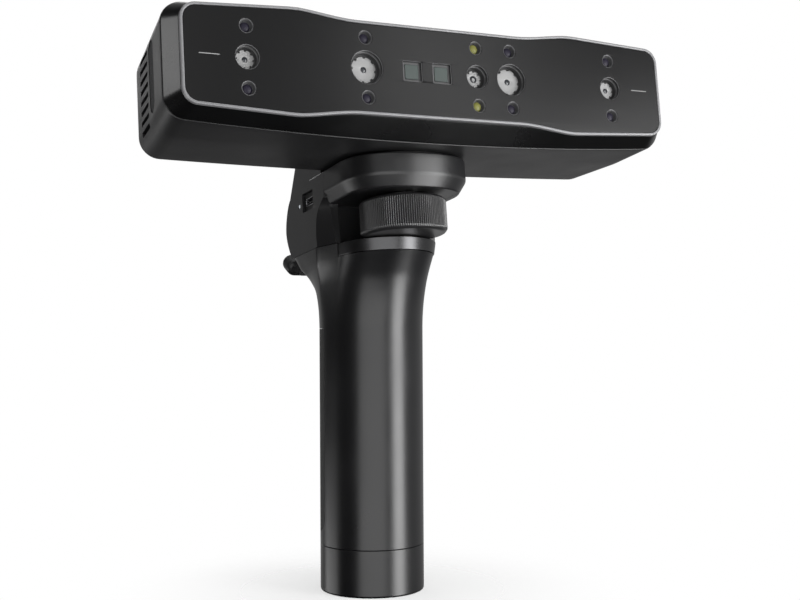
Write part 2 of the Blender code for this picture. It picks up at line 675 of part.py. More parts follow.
def make_head_rear():
    housing = head_loft(
        "rear_housing",
        [(CREASE_Y + SEAM / 2, 0.0), (FLAT_Y, 0.0), ((FLAT_Y + REAR_Y) / 2, 0.0)] + rounded_rear(0.0),
    )
    room = [(CREASE_Y - CUT, WALL), (CREASE_Y + SEAM, WALL), (FLAT_Y, WALL), ((FLAT_Y + REAR_Y) / 2, WALL)]
    combine(housing, helper(stand(head_loft("housing_room", room + rounded_rear(WALL)), HEAD)))
    wall_inside = REAR_Y - WALL
    for x in (-POST_X, POST_X):
        for z in POST_ZS:
            outline = circle(x, z, POST_RADIUS, LEAST_STEPS)
            post = prism("post", [outline], BOARD_BACK + GAP, wall_inside + WALL / 2, "Y")
            combine(housing, helper(stand(post, HEAD)), "UNION")
    boss = prism("screw_boss", [circle(0.0, CLAMP_Y, BOSS_RADIUS)], -FLAT_BOTTOM + WALL / 2, BOSS_TOP)
    combine(housing, helper(stand(boss, HEAD)), "UNION")
    outline = circle(0.0, CLAMP_Y, INSERT_RADIUS + GAP)
    bore = prism("insert_bore", [outline], -FLAT_BOTTOM - CUT, BOSS_TOP + CUT)
    combine(housing, helper(stand(bore, HEAD)))
    for side in (-1, 1):
        combine(housing, helper(stand(grille_slots(side), HEAD)))
        corner = (GROOVE_BACK - GROOVE_FRONT) * SLOT_ROUND_SHARE
        outline = rounded(GROOVE_FRONT, GROOVE_BOTTOM, GROOVE_BACK, GROOVE_TOP, corner)
        low, high = sorted((side * (CREASE_HALF - GROOVE_FLOOR), side * (CREASE_HALF + CUT)))
        combine(housing, helper(stand(prism("end_groove", [outline], low, high, "X"), HEAD)))
    hole = circle(BUTTON_X, BUTTON_Z, BUTTON_RADIUS + BUTTON_CLEARANCE, 32)
    cutter = prism("button_hole", [hole], wall_inside - CUT, REAR_Y + CUT, "Y")
    combine(housing, helper(stand(cutter, HEAD)))
    socket = rounded(
        HEAD_SOCKET_X - SOCKET_HALF_WIDTH - GAP,
        BUTTON_Z - SOCKET_HALF_HEIGHT - GAP,
        HEAD_SOCKET_X + SOCKET_HALF_WIDTH + GAP,
        BUTTON_Z + SOCKET_HALF_HEIGHT + GAP,
        SOCKET_HALF_HEIGHT,
    )
    cutter = prism("socket_hole", [socket], wall_inside - CUT, REAR_Y + CUT, "Y")
    combine(housing, helper(stand(cutter, HEAD)))
    finish(stand(housing, HEAD), look("housing_black", (0.02, 0.02, 0.022), 0.5))

    low = BOSS_TOP
    reach = INSERT_RADIUS
    profile = [(reach, low), (reach, -FLAT_BOTTOM), (INSERT_BORE, -FLAT_BOTTOM), (INSERT_BORE, low)]
    insert = turned("thread_insert", profile, SMALL_STEPS, ring=True)
    finish(stand(insert, HEAD, (0.0, CLAMP_Y, 0.0)), look("insert_brass", (0.72, 0.53, 0.22), 0.3, 1.0))

    flange = wall_inside - GAP
    reach = BUTTON_RADIUS + BUTTON_FLANGE
    face = REAR_Y + BUTTON_STAND
    middle = BUTTON_RADIUS * DISH_REACH_SHARE
    low = flange - BUTTON_FLANGE_THICKNESS
    profile = [(0.0, face - BUTTON_DISH), (middle, face - BUTTON_DISH * DISH_RISE_SHARE)]
    profile += [(BUTTON_RADIUS - BUTTON_DISH, face), (BUTTON_RADIUS, face - BUTTON_DISH), (BUTTON_RADIUS, flange)]
    profile += [(reach, flange), (reach, low), (0.0, low)]
    button = turned("scan_button", [(radius, height - REAR_Y) for radius, height in profile], 32)
    stand(button, HEAD, (BUTTON_X, REAR_Y, BUTTON_Z), -math.pi / 2)
    finish(button, look("button_grey", (0.12, 0.12, 0.125), 0.4))

    back = REAR_Y - GAP
    front = back - SOCKET_DEPTH
    place = (HEAD_SOCKET_X, BUTTON_Z)
    shell = prism("head_socket", [stadium(place, SOCKET_HALF_WIDTH, SOCKET_HALF_HEIGHT)], front, back, "Y")
    inner = stadium(place, SOCKET_HALF_WIDTH - SOCKET_WALL, SOCKET_HALF_HEIGHT - SOCKET_WALL)
    tongue = stadium(place, TONGUE_HALF_WIDTH, TONGUE_HALF_HEIGHT)
    room = prism("socket_room", [inner, tongue], front + CUT, back + CUT, "Y")
    combine(shell, helper(stand(room, HEAD)))
    finish(stand(shell, HEAD), look("socket_steel", (0.5, 0.5, 0.52), 0.3, 1.0))


def stadium(place, half_width, half_height):
    x, z = place
    corner = half_height * STADIUM_ROUND_SHARE
    return rounded(x - half_width, z - half_height, x + half_width, z + half_height, corner)


def head_to_world(y, z):
    """A point of the head's frame as (y, z) of the world."""
    cos, sin = math.cos(HEAD_TILT), math.sin(HEAD_TILT)
    return HEAD_Y + y * cos + z * sin, HEAD_Z - y * sin + z * cos


def seam_height(y, level):
    """World height, at world depth y, of the head's plane at this level."""
    cos, sin = math.cos(HEAD_TILT), math.sin(HEAD_TILT)
    return HEAD_Z + (level - (y - HEAD_Y) * sin) / cos


def body_outline(radius):
    """The outline where the grip meets the cradle: the collar's arc in front, flat sides, a blunt rear."""
    centre = head_to_world(COLLAR_Y, COLLAR_TOP)[0]
    last = math.acos((centre - BODY_SIDE_YS[0]) / COLLAR_TOP_RADIUS)
    right = []
    for i in range(COLLAR_ARC_STEPS + 1):
        angle = last * i / COLLAR_ARC_STEPS
        right.append((radius * math.sin(angle), centre - radius * math.cos(angle)))
    right += list(zip(BODY_SIDE_XS[1:], BODY_SIDE_YS[1:]))
    right += [(BODY_REAR_X, BODY_REAR_Y), (0.0, BODY_BACK_Y)]
    return right + [(-x, y) for x, y in right[-2:0:-1]]


def ray_reach(outline, centre_y, angle):
    """How far a ray from (0, centre_y) runs to the outline; angle zero looks along -Y."""
    way_x, way_y = math.sin(angle), -math.cos(angle)
    best = 0.0
    for i in range(len(outline)):
        x0, y0 = outline[i]
        x1, y1 = outline[(i + 1) % len(outline)]
        side_x, side_y = x1 - x0, y1 - y0
        cross = way_x * side_y - way_y * side_x
        if abs(cross) < TINY_LENGTH:
            continue
        along = (x0 * side_y - (y0 - centre_y) * side_x) / cross
        share = (x0 * way_y - (y0 - centre_y) * way_x) / cross
        if -TINY_SHARE <= share <= 1 + TINY_SHARE:
            best = max(best, along)
    return best


def grip_rings():
    """The grip's outline from its cap's seam up to the collar."""
    whole = body_outline(COLLAR_TOP_RADIUS)
    narrow = body_outline(COLLAR_BOTTOM_RADIUS)
    angles = [math.tau * i / FLARE_POINTS for i in range(FLARE_POINTS)]
    reaches = [ray_reach(whole, BODY_CENTRE_Y, angle) for angle in angles]
    lower_reaches = [ray_reach(narrow, BODY_CENTRE_Y, angle) for angle in angles]

    def ring(height, front, rear, targets):
        points = []
        for angle, reach in zip(angles, targets):
            forward = (1 + math.cos(angle)) / 2
            share = mix(rear, front, ease(forward))
            x = mix(GRIP_RADIUS * math.sin(angle), reach * math.sin(angle), share)
            y = mix(-GRIP_RADIUS * math.cos(angle), BODY_CENTRE_Y - reach * math.cos(angle), share)
            points.append((x, y, height if height is not None else 0.0))
        return points

    rings = [ring(CAP_TOP + GAP, 0.0, 0.0, reaches), ring(GRIP_STRAIGHT_TOP, 0.0, 0.0, reaches)]
    for height, front, rear in zip(FLARE_HEIGHTS, FLARE_FRONT_SHARES, FLARE_REAR_SHARES):
        rings.append(ring(height, front, rear, lower_reaches))
    lower = ring(None, 1.0, FLARE_TOP_REAR_SHARE, lower_reaches)
    upper = ring(None, 1.0, 1.0, reaches)
    rings.append([(x, y, seam_height(y, COLLAR_BOTTOM)) for x, y, z in lower])
    rings.append([(x, y, seam_height(y, COLLAR_TOP)) for x, y, z in upper])
    return rings


def inlay_outline(grow):
    """The rear inlay's side, (y, z), with a round lower corner in front."""
    front = INLAY_Y - grow
    back = GRIP_RADIUS + CUT
    low = INLAY_LOW - grow
    high = INLAY_HIGH + grow
    corner = INLAY_CORNER + grow
    found = [(back, low), (back, high), (front, high)]
    for i in range(ARC_STEPS + 1):
        angle = math.pi + i / ARC_STEPS * math.pi / 2
        found.append((front + corner + corner * math.cos(angle), low + corner + corner * math.sin(angle)))
    return found


def make_grip():
    shell = loft("handle_shell", grip_rings())
    inside = circle(0.0, 0.0, GRIP_RADIUS - GRIP_WALL, ROUND_STEPS)
    bore = prism("grip_bore", [inside], CAP_TOP - CUT, BORE_TOP)
    combine(shell, helper(bore))
    pocket = prism(
        "collar_pocket",
        [circle(0.0, COLLAR_Y, COLLAR_TOP_RADIUS + GAP, FINE_STEPS)],
        COLLAR_BOTTOM,
        COLLAR_TOP + PLATFORM_INSET,
    )
    combine(shell, helper(stand(pocket, HEAD)))
    wide = GRIP_RADIUS + CUT
    floor = GRIP_RADIUS - INLAY_DEPTH - INLAY_GAP
    profile = [(wide, INLAY_HIGH * 2), (wide, 0.0), (floor, 0.0), (floor, INLAY_HIGH * 2)]
    recess = turned("inlay_recess", profile, FINE_STEPS, ring=True)
    side = prism("inlay_side", [inlay_outline(INLAY_GAP)], -wide - CUT, wide + CUT, "X")
    combine(recess, helper(side), "INTERSECT")
    combine(shell, helper(recess))
    finish(shell, look("grip_black", (0.03, 0.03, 0.032), 0.42))

    floor = GRIP_RADIUS - INLAY_DEPTH
    profile = [(GRIP_RADIUS, INLAY_HIGH * 2), (GRIP_RADIUS, 0.0), (floor, 0.0), (floor, INLAY_HIGH * 2)]
    inlay = turned("rear_inlay", profile, FINE_STEPS, ring=True)
    side = prism("inlay_cut", [inlay_outline(0.0)], -wide - CUT, wide + CUT, "X")
    combine(inlay, helper(side), "INTERSECT")
    finish(inlay, look("inlay_black", (0.02, 0.02, 0.021), 0.6))

    low = COLLAR_BOTTOM + GAP
    profile = [(COLLAR_TOP_RADIUS, COLLAR_TOP), (COLLAR_BOTTOM_RADIUS, low)]
    profile += [(COLLAR_BORE, low), (COLLAR_BORE, COLLAR_TOP)]
    collar = turned("collar_ring", profile, FINE_STEPS, ring=True)
    finish(stand(collar, HEAD, (0.0, COLLAR_Y, 0.0)), look("collar_satin", (0.16, 0.16, 0.165), 0.3, 0.8))

    spigot = GRIP_RADIUS - GRIP_WALL - GAP
    profile = [(0.0, SPIGOT_TOP), (spigot, SPIGOT_TOP), (spigot, CAP_TOP), (GRIP_RADIUS, CAP_TOP)]
    profile += [(GRIP_RADIUS, CAP_EDGE), (GRIP_RADIUS - CAP_EDGE, 0.0), (BASE_INSERT_RADIUS + GAP, 0.0)]
    profile += [(BASE_INSERT_RADIUS + GAP, INSERT_DEPTH + GAP), (0.0, INSERT_DEPTH + GAP)]
    cap = turned("base_cap", profile, FINE_STEPS)
    finish(cap, look("cap_black", (0.035, 0.035, 0.037), 0.4))
    profile = [(0.0, INSERT_DEPTH), (BASE_INSERT_RADIUS, INSERT_DEPTH), (BASE_INSERT_RADIUS, 0.0)]
    profile += [(INSERT_BORE, 0.0), (INSERT_BORE, INSERT_DEPTH - CUT), (0.0, INSERT_DEPTH - CUT)]
    finish(turned("tripod_insert", profile, SMALL_STEPS), look("tripod_brass", (0.72, 0.53, 0.22), 0.3, 1.0))

    low = SPIGOT_TOP + GAP
    reach = CELL_RADIUS + GAP
    profile = [(reach, HOLDER_TOP), (spigot, HOLDER_TOP), (spigot, low), (0.0, low), (0.0, low + HOLDER_FLOOR)]
    profile += [(reach, low + HOLDER_FLOOR), (reach, HOLDER_TOP)]
    holder = turned("cell_holder", profile[:-1], ROUND_STEPS, ring=True)
    finish(holder, look("holder_black", (0.05, 0.05, 0.05), 0.6))
    low = SPIGOT_TOP + GAP + HOLDER_FLOOR + GAP
    top = low + CELL_LENGTH
    profile = [(0.0, top + CELL_CAP), (CELL_CAP_RADIUS, top + CELL_CAP), (CELL_CAP_RADIUS, top)]
    profile += [(CELL_RADIUS, top), (CELL_RADIUS, low), (0.0, low)]
    finish(turned("battery_cell", profile, COARSE_STEPS), look("cell_blue", (0.05, 0.12, 0.3), 0.35))
    low = HOLDER_TOP + GAP
    board = prism("power_board", [circle(0.0, 0.0, spigot, COARSE_STEPS)], low, low + POWER_BOARD)
    finish(board, look("power_board_green", (0.02, 0.14, 0.06), 0.5))


def cradle_side():
    """The cradle's side, (y, z): up the front, along the sloping top, down the curved rear."""
    found = list(zip(SPINE_FRONT_YS, SPINE_FRONT_ZS))
    found.append((SPINE_TOP_Y, SPINE_TOP_Z))
    found += list(zip(SPINE_REAR_YS[::-1], SPINE_REAR_ZS[::-1]))
    found.append((SPINE_FOOT_Y, SPINE_FOOT_Z))
    return found


def platform_ring(level, inset):
    """The platform's outline: a superellipse in front that runs straight back into the cheeks."""
    points = []
    for i in range(PLATFORM_STEPS + 1):
        angle = math.pi * i / PLATFORM_STEPS
        power = 2 / PLATFORM_POWER
        x = math.copysign(abs(math.cos(angle)) ** power, math.cos(angle))
        y = math.sin(angle) ** power if math.sin(angle) > 0 else 0.0
        points.append(((CHEEK_X - inset) * x, PLATFORM_CENTRE_Y - (PLATFORM_DEPTH - inset) * y, level))
    points.append((-(CHEEK_X - inset), PLATFORM_REAR_Y, level))
    points.append((CHEEK_X - inset, PLATFORM_REAR_Y, level))
    return points


def corner_cut(side):
    """What is taken off one cheek's front corner, from its curved crease to the notch's edge."""
    rings = []
    for crease, height in zip(CREASE_YS, CREASE_HEIGHTS):
        slope = (crease - CORNER_FRONT_Y) / (CHEEK_X - CORNER_FRONT_X)
        outer = CHEEK_X + CUT
        inner = CORNER_FRONT_X - 3 * CUT
        ahead = CORNER_FRONT_Y - CHEEK_X
        rings.append(
            [
                (side * outer, crease + slope * CUT, height),
                (side * inner, CORNER_FRONT_Y - slope * 3 * CUT, height),
                (side * inner, ahead, height),
                (side * outer, ahead, height),
            ]
        )
    return loft("corner_cut", rings)


def make_cradle():
    cradle = prism("cradle", [cradle_side()], -CHEEK_X, CHEEK_X, "X")
    for side in (-1, 1):
        combine(cradle, helper(corner_cut(side)))
    levels = ((PLATFORM_BOTTOM, PLATFORM_INSET), (PLATFORM_BAND, 0.0), (PLATFORM_TOP - PLATFORM_EDGE, 0.0))
    rings = [platform_ring(level, inset) for level, inset in levels]
    rings.append(platform_ring(PLATFORM_TOP, PLATFORM_EDGE))
    combine(cradle, helper(stand(loft("platform", rings), HEAD)), "UNION")
    rear_y = CLAMP_FRAME_Y
    rear_z = CLAMP_FRAME_Z
    lean = math.tan(CLAMP_LEAN)
    upright_side = [
        (UPRIGHT_FRONT_Y, UPRIGHT_LOW_Z),
        (UPRIGHT_FRONT_Y, UPRIGHT_TOP_Z - UPRIGHT_EDGE),
        (UPRIGHT_FRONT_Y + UPRIGHT_EDGE, UPRIGHT_TOP_Z),
        (rear_y - (UPRIGHT_TOP_Z - rear_z) * lean, UPRIGHT_TOP_Z),
        (rear_y + (rear_z - UPRIGHT_LOW_Z) * lean, UPRIGHT_LOW_Z),
        (UPRIGHT_FOOT_Y, UPRIGHT_LOW_Z - UPRIGHT_EDGE),
        (UPRIGHT_FRONT_Y + UPRIGHT_EDGE, UPRIGHT_LOW_Z - UPRIGHT_EDGE),
    ]
    combine(cradle, helper(prism("upright", [upright_side], -CORE_X, CORE_X, "X")), "UNION")
    below = box(
        "below_seam",
        (-2 * CHEEK_X, 0.0, COLLAR_TOP - SPINE_FOOT_Z),
        (2 * CHEEK_X, SPINE_FOOT_Z, COLLAR_TOP + SEAM),
    )
    combine(cradle, helper(stand(below, HEAD)))
    notch = box(
        "notch",
        (-NOTCH_HALF_WIDTH, 0.0, COLLAR_TOP - CUT),
        (NOTCH_HALF_WIDTH, NOTCH_BACK_Y, PLATFORM_BOTTOM + NOTCH_BITE),
    )
    combine(cradle, helper(stand(notch, HEAD)))
    bore = prism("screw_bore", [circle(0.0, CLAMP_Y, SCREW_RADIUS + 2 * GAP)], COLLAR_TOP, PLATFORM_TOP + CUT)
    combine(cradle, helper(stand(bore, HEAD)))
    for name, cutter in port_cutters():
        combine(cradle, cutter)
    finish(cradle, look("cradle_black", (0.03, 0.03, 0.032), 0.45))

    outline = []
    for i in range(COARSE_STEPS):
        angle = math.tau * i / COARSE_STEPS
        power = 2 / PLATFORM_POWER
        x = math.copysign(abs(math.cos(angle)) ** power, math.cos(angle))
        y = math.copysign(abs(math.sin(angle)) ** power, math.sin(angle))
        outline.append((PAD_RADIUS * x, CLAMP_Y + PAD_DEPTH_HALF * y))
    hole = circle(0.0, CLAMP_Y, SCREW_RADIUS + 2 * GAP)
    pad = prism("rubber_pad", [outline, hole], PAD_BOTTOM, PAD_TOP)
    finish(stand(pad, HEAD), look("pad_rubber", (0.015, 0.015, 0.015), 0.8))

    bore = SCREW_RADIUS + GAP
    profile = [(KNOB_RADIUS - KNOB_SHOULDER, KNOB_TOP), (KNOB_RADIUS - KNOB_SHOULDER, KNURL_TOP + KNOB_EDGE)]
    profile += [(KNOB_RADIUS - KNOB_EDGE / 2, KNURL_TOP + KNOB_EDGE / 2), (KNOB_RADIUS, KNURL_TOP)]
    profile += [(KNOB_RADIUS, KNURL_BOTTOM), (KNOB_RADIUS - KNOB_EDGE, KNOB_BOTTOM), (0.0, KNOB_BOTTOM)]
    profile += [(0.0, KNURL_BOTTOM), (bore, KNURL_BOTTOM), (bore, KNOB_TOP)]
    knob = turned("clamp_knob", profile, FINE_STEPS, ring=True)
    finish(stand(knob, HEAD, (0.0, CLAMP_Y, 0.0)), look("knob_black", (0.03, 0.03, 0.032), 0.38))
    top = SCREW_RADIUS - SCREW_CHAMFER
    profile = [(0.0, SCREW_TOP), (top, SCREW_TOP), (SCREW_RADIUS, SCREW_TOP - SCREW_CHAMFER)]
    profile += [(SCREW_RADIUS, KNURL_BOTTOM + GAP), (0.0, KNURL_BOTTOM + GAP)]
    screw = turned("clamp_screw", profile, SMALL_STEPS)
    finish(stand(screw, HEAD, (0.0, CLAMP_Y, 0.0)), look("screw_steel", (0.55, 0.55, 0.56), 0.3, 1.0))


def port_frame():
    frame = bpy.data.objects.new("port_frame", None)
    frame.location = (-CHEEK_X, PORT_Y, PORT_Z)
    frame.rotation_euler = (-HEAD_TILT, 0.0, 0.0)
    PART.objects.link(frame)
    return frame


def port_cutters():
    """The pockets for the socket and the light in the left cheek."""
    place = bpy.data.objects["port_frame"]
    outline = rounded(-PORT_HALF_LENGTH, -PORT_HALF_HEIGHT, PORT_HALF_LENGTH, PORT_HALF_HEIGHT, PORT_CORNER)
    deep = PORT_RECESS + PORT_DEPTH + GAP
    socket = stand(prism("port_pocket", [outline], -CUT, deep, "X"), place)
    around = circle(LIGHT_Y, LIGHT_Z, LIGHT_RADIUS + GAP / 2, LEAST_STEPS)
    light = prism("light_pocket", [around], -CHEEK_X - CUT, LIGHT_DEPTH - CHEEK_X, "X")
    return [("socket", helper(socket)), ("light", helper(light))]


def make_ports():
    place = bpy.data.objects["port_frame"]
    half = PORT_HALF_LENGTH - GAP
    tall = PORT_HALF_HEIGHT - GAP
    outline = rounded(-half, -tall, half, tall, PORT_CORNER - GAP)
    back = PORT_RECESS + PORT_DEPTH
    socket = prism("grip_socket", [outline], PORT_RECESS, back, "X")
    half -= PORT_WALL
    tall -= PORT_WALL
    inner = rounded(-half, -tall, half, tall, PORT_CORNER - 2 * GAP)
    tongue = rounded(-PORT_TONGUE_HALF, -PORT_WALL / 2, PORT_TONGUE_HALF, PORT_WALL / 2, TONGUE_CORNER)
    room = prism("port_room", [inner, tongue], PORT_RECESS - CUT, back - CUT, "X")
    combine(socket, helper(stand(room, place)))
    finish(stand(socket, place), look("port_black", (0.02, 0.02, 0.02), 0.4))
    outline = circle(LIGHT_Y, LIGHT_Z, LIGHT_RADIUS, LEAST_STEPS)
    light = prism("status_light", [outline], -CHEEK_X, LIGHT_DEPTH - GAP - CHEEK_X, "X")
    finish(light, look("light_clear", (0.8, 0.85, 0.9), 0.2))


def jaw(low, high, inner):
    """The side (y, z) of a clamp jaw with a round outer edge, in the clamp's frame."""
    round_edge = (high - low) / 2
    middle = (low + high) / 2
    found = [(inner, high), (inner, low)]
    for i in range(ARC_STEPS + 1):
        angle = -math.pi / 2 + math.pi * i / ARC_STEPS
        out = JAW_REACH - round_edge + round_edge * math.cos(angle)
        found.append((out, middle + round_edge * math.sin(angle)))
    return found


def make_phone_clamp():
    front = GAP
    back = prism(
        "clamp_back",
        [rounded(-BACK_HALF_WIDTH, front, BACK_HALF_WIDTH, front + BACK_THICKNESS, BACK_CORNER)],
        JAW_LOW + JAW_INNER,
        BACK_TOP,
    )
    side = jaw(JAW_LOW, JAW_LOW + JAW_HEIGHT, front + JAW_INNER)
    low_jaw = prism("lower_jaw", [side], -JAW_HALF_WIDTH, JAW_HALF_WIDTH, "X")
    bevel(low_jaw, JAW_ROUND)
    combine(back, helper(stand(low_jaw, CLAMP)), "UNION")
    face = front + BACK_THICKNESS
    wide = BACK_HALF_WIDTH - SEAT_INSET
    bottom = JAW_LOW + JAW_HEIGHT + GAP + JAW_PAD + SEAT_INSET
    field = rounded(-wide, bottom, wide, BACK_TOP - JAW_PAD - SEAT_INSET, SEAT_CORNER)
    seat = prism("phone_seat", [field], face - CUT, face + SEAT_RISE, "Y")
    combine(back, helper(stand(seat, CLAMP)), "UNION")
    middle = front + BACK_THICKNESS / 2
    wide = STEM_HALF_WIDTH + STEM_CLEARANCE
    deep = STEM_THICKNESS / 2 + STEM_CLEARANCE
    stem_low = BACK_TOP - STEM_LENGTH
    floor = stem_low - STEM_CLEARANCE
    channel = box("stem_channel", (-wide, middle - deep, floor), (wide, middle + deep, BACK_TOP + CUT))
    combine(back, helper(stand(channel, CLAMP)))
    finish(stand(back, CLAMP), look("clamp_black", (0.03, 0.03, 0.032), 0.5))

    low = BACK_TOP + GAP
    high = low + JAW_HEIGHT
    top_jaw = prism("upper_jaw", [jaw(low, high, front)], -JAW_HALF_WIDTH, JAW_HALF_WIDTH, "X")
    bevel(top_jaw, JAW_ROUND)
    stem = box(
        "stem",
        (-STEM_HALF_WIDTH, middle - STEM_THICKNESS / 2, stem_low),
        (STEM_HALF_WIDTH, middle + STEM_THICKNESS / 2, low + JAW_HEIGHT / 2),
    )
    combine(top_jaw, helper(stand(stem, CLAMP)), "UNION")
    finish(stand(top_jaw, CLAMP), look("jaw_black", (0.035, 0.035, 0.037), 0.5))

    start = front + BACK_THICKNESS + JAW_PAD_INSET
    end = JAW_REACH - JAW_PAD_INSET
    for name, floor in (
        ("lower_jaw_pad", JAW_LOW + JAW_HEIGHT + GAP),
        ("upper_jaw_pad", BACK_TOP - JAW_PAD),
    ):
        outline = rounded(-JAW_PAD_HALF_WIDTH, start, JAW_PAD_HALF_WIDTH, end, JAW_PAD_CORNER)
        pad = prism(name, [outline], floor, floor + JAW_PAD)
        finish(stand(pad, CLAMP), look(name + "_rubber", (0.015, 0.015, 0.015), 0.85))


def empty_frame(name, y, z, turn):
    frame = bpy.data.objects.new(name, None)
    frame.location = (0.0, y, z)
    frame.rotation_euler = (turn, 0.0, 0.0)
    PART.objects.link(frame)
    return frame


clear_scene()
PART = new_collection("three_d_scanner")
HELPERS = new_collection("cutters", helper=True)
HEAD = empty_frame("head_frame", HEAD_Y, HEAD_Z, -HEAD_TILT)
CLAMP = empty_frame("clamp_frame", CLAMP_FRAME_Y, CLAMP_FRAME_Z, CLAMP_LEAN)
port_frame()
make_head_front()
make_head_inside()
make_head_rear()
make_grip()
make_cradle()
make_ports()
make_phone_clamp()
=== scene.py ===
"""The looks of a hand-held three-d scanner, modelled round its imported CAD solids.
Everything is in metres in the frame's own coordinates.
The grip stands on z = 0 and the head looks along -Y."""

import math

import bmesh
import bpy
from mathutils import Matrix, Quaternion, Vector, kdtree


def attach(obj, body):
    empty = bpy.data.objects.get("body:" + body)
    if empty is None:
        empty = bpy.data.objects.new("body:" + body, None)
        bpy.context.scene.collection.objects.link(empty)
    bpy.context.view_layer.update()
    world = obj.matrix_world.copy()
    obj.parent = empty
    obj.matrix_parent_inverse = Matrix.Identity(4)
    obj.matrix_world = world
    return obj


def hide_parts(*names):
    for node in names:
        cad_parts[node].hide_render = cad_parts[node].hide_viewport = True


bl_info = {
    "name": "Hand-held three-d scanner",
    "version": (1, 0, 0),
    "blender": (4, 5, 0),
    "location": "View3D > Sidebar > Scanner",
    "description": "Models and dresses a hand-held three-d scanner round its packed solids",
    "category": "Object",
}

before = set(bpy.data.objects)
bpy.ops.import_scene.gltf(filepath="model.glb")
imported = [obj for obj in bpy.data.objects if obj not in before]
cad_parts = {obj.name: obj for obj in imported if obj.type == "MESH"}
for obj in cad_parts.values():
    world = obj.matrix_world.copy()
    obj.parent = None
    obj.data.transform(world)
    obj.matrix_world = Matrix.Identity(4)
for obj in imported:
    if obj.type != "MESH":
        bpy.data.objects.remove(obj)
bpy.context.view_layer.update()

MM = 0.001
TINY = 0.00001

HEAD_LEAN = math.radians(7.04)
HEAD_Y = -63.85 * MM
HEAD_Z = 201.29 * MM
CLAMP_LEAN = math.radians(25.1)
# the head's own frame: the middle of its front panel, tipped back with the head
HEAD = Matrix.Translation((0.0, HEAD_Y, HEAD_Z)) @ Matrix.Rotation(-HEAD_LEAN, 4, "X")
# the phone clamp's frame, leaned forward with the upright's rear face
CLAMP = Matrix.Translation((0.0, 25.0 * MM, 172.5 * MM)) @ Matrix.Rotation(CLAMP_LEAN, 4, "X")
# a body turned round Z stands along the head's depth, pointing backwards or forwards
BACKWARDS = Matrix.Rotation(math.radians(-90), 4, "X")
FORWARDS = Matrix.Rotation(math.radians(90), 4, "X")
# outlines in (y, z) stand across the part, thickened along X
SIDEWAYS = Matrix(((0, 0, 1, 0), (1, 0, 0, 0), (0, 1, 0, 0), (0, 0, 0, 1)))


# settings
class HeadSettings(bpy.types.PropertyGroup):
    half_length: bpy.props.FloatProperty(
        name="Half length", description="Half the rim's length", default=98.6 * MM, unit="LENGTH"
    )
    rim_width: bpy.props.FloatProperty(
        name="Rim width", description="Width of the bright rim", default=1.1 * MM, unit="LENGTH"
    )
    lens_depth: bpy.props.FloatProperty(
        name="Lens depth", description="How deep the cameras lie behind the panel",
        default=3.3 * MM, unit="LENGTH",
    )
    lens_notches: bpy.props.IntProperty(
        name="Lens notches", description="Notches round each camera's retaining ring", default=8
    )
    shell: bpy.props.FloatVectorProperty(
        name="Shell colour", description="Colour of the moulded shell",
        default=(0.0065, 0.0065, 0.007), subtype="COLOR",
    )
    panel: bpy.props.FloatVectorProperty(
        name="Panel colour", description="Colour of the window panel",
        default=(0.0095, 0.0095, 0.0097), subtype="COLOR",
    )
    rim: bpy.props.FloatVectorProperty(
        name="Rim colour", description="Colour of the bright rim",
        default=(0.13, 0.13, 0.135), subtype="COLOR",
    )


class GripSettings(bpy.types.PropertyGroup):
    radius: bpy.props.FloatProperty(
        name="Grip radius", description="Radius of the round grip", default=21.3 * MM, unit="LENGTH"
    )
    seam: bpy.props.FloatProperty(
        name="Cap seam", description="Height of the base cap's seam", default=19.1 * MM, unit="LENGTH"
    )
    colour: bpy.props.FloatVectorProperty(
        name="Grip colour", description="Colour of the grip's satin coat",
        default=(0.0035, 0.0035, 0.004), subtype="COLOR",
    )


class ClampSettings(bpy.types.PropertyGroup):
    knob_radius: bpy.props.FloatProperty(
        name="Knob radius", description="Radius over the knurl", default=17.1 * MM, unit="LENGTH"
    )
    ridges: bpy.props.IntProperty(name="Ridges", description="Ridges round the knob", default=120)
    ridge_depth: bpy.props.FloatProperty(
        name="Ridge depth", description="Depth of the knurl", default=0.42 * MM, unit="LENGTH"
    )


class StageSettings(bpy.types.PropertyGroup):
    floor: bpy.props.FloatVectorProperty(
        name="Floor", description="Colour of the floor", default=(0.9, 0.9, 0.9), subtype="COLOR"
    )
    fill: bpy.props.FloatProperty(name="Fill", description="Strength of the world's even light", default=0.35)


def head_settings():
    return bpy.context.scene.scanner_head


def grip_settings():
    return bpy.context.scene.scanner_grip


def clamp_settings():
    return bpy.context.scene.scanner_clamp


def stage_settings():
    return bpy.context.scene.scanner_stage


# modelling by operators
def pick(obj=None):
    """Selects this object and nothing else."""
    if bpy.context.object is not None and bpy.context.object.mode != "OBJECT":
        bpy.ops.object.mode_set(mode="OBJECT")
    bpy.ops.object.select_all(action="DESELECT")
    if obj is not None:
        obj.select_set(True)
        bpy.context.view_layer.objects.active = obj


def edit(obj, kind):
    """Enters edit mode with everything selected."""
    if obj.mode != "EDIT":
        pick(obj)
        bpy.ops.object.mode_set(mode="EDIT")
    bpy.ops.mesh.select_mode(type=kind)
    bpy.ops.mesh.select_all(action="SELECT")


def named(name):
    obj = bpy.context.object
    obj.name = name
    obj.data.name = name
    return obj


def ring_of(name, points):
    """A closed ring of edges through these points."""
    pick()
    bpy.ops.mesh.primitive_circle_add(vertices=len(points), radius=MM)
    obj = named(name)
    for vertex, point in zip(obj.data.vertices, points):
        vertex.co = point
    return obj


def move_ring(obj, here, beyond):
    """Moves the freshly extruded ring from one outline to the next."""
    tree = kdtree.KDTree(len(here))
    for i, point in enumerate(here):
        tree.insert(point, i)
    tree.balance()
    work = bmesh.from_edit_mesh(obj.data)
    for vertex in work.verts:
        if vertex.select:
            vertex.co = beyond[tree.find(vertex.co)[1]]
    bmesh.update_edit_mesh(obj.data)


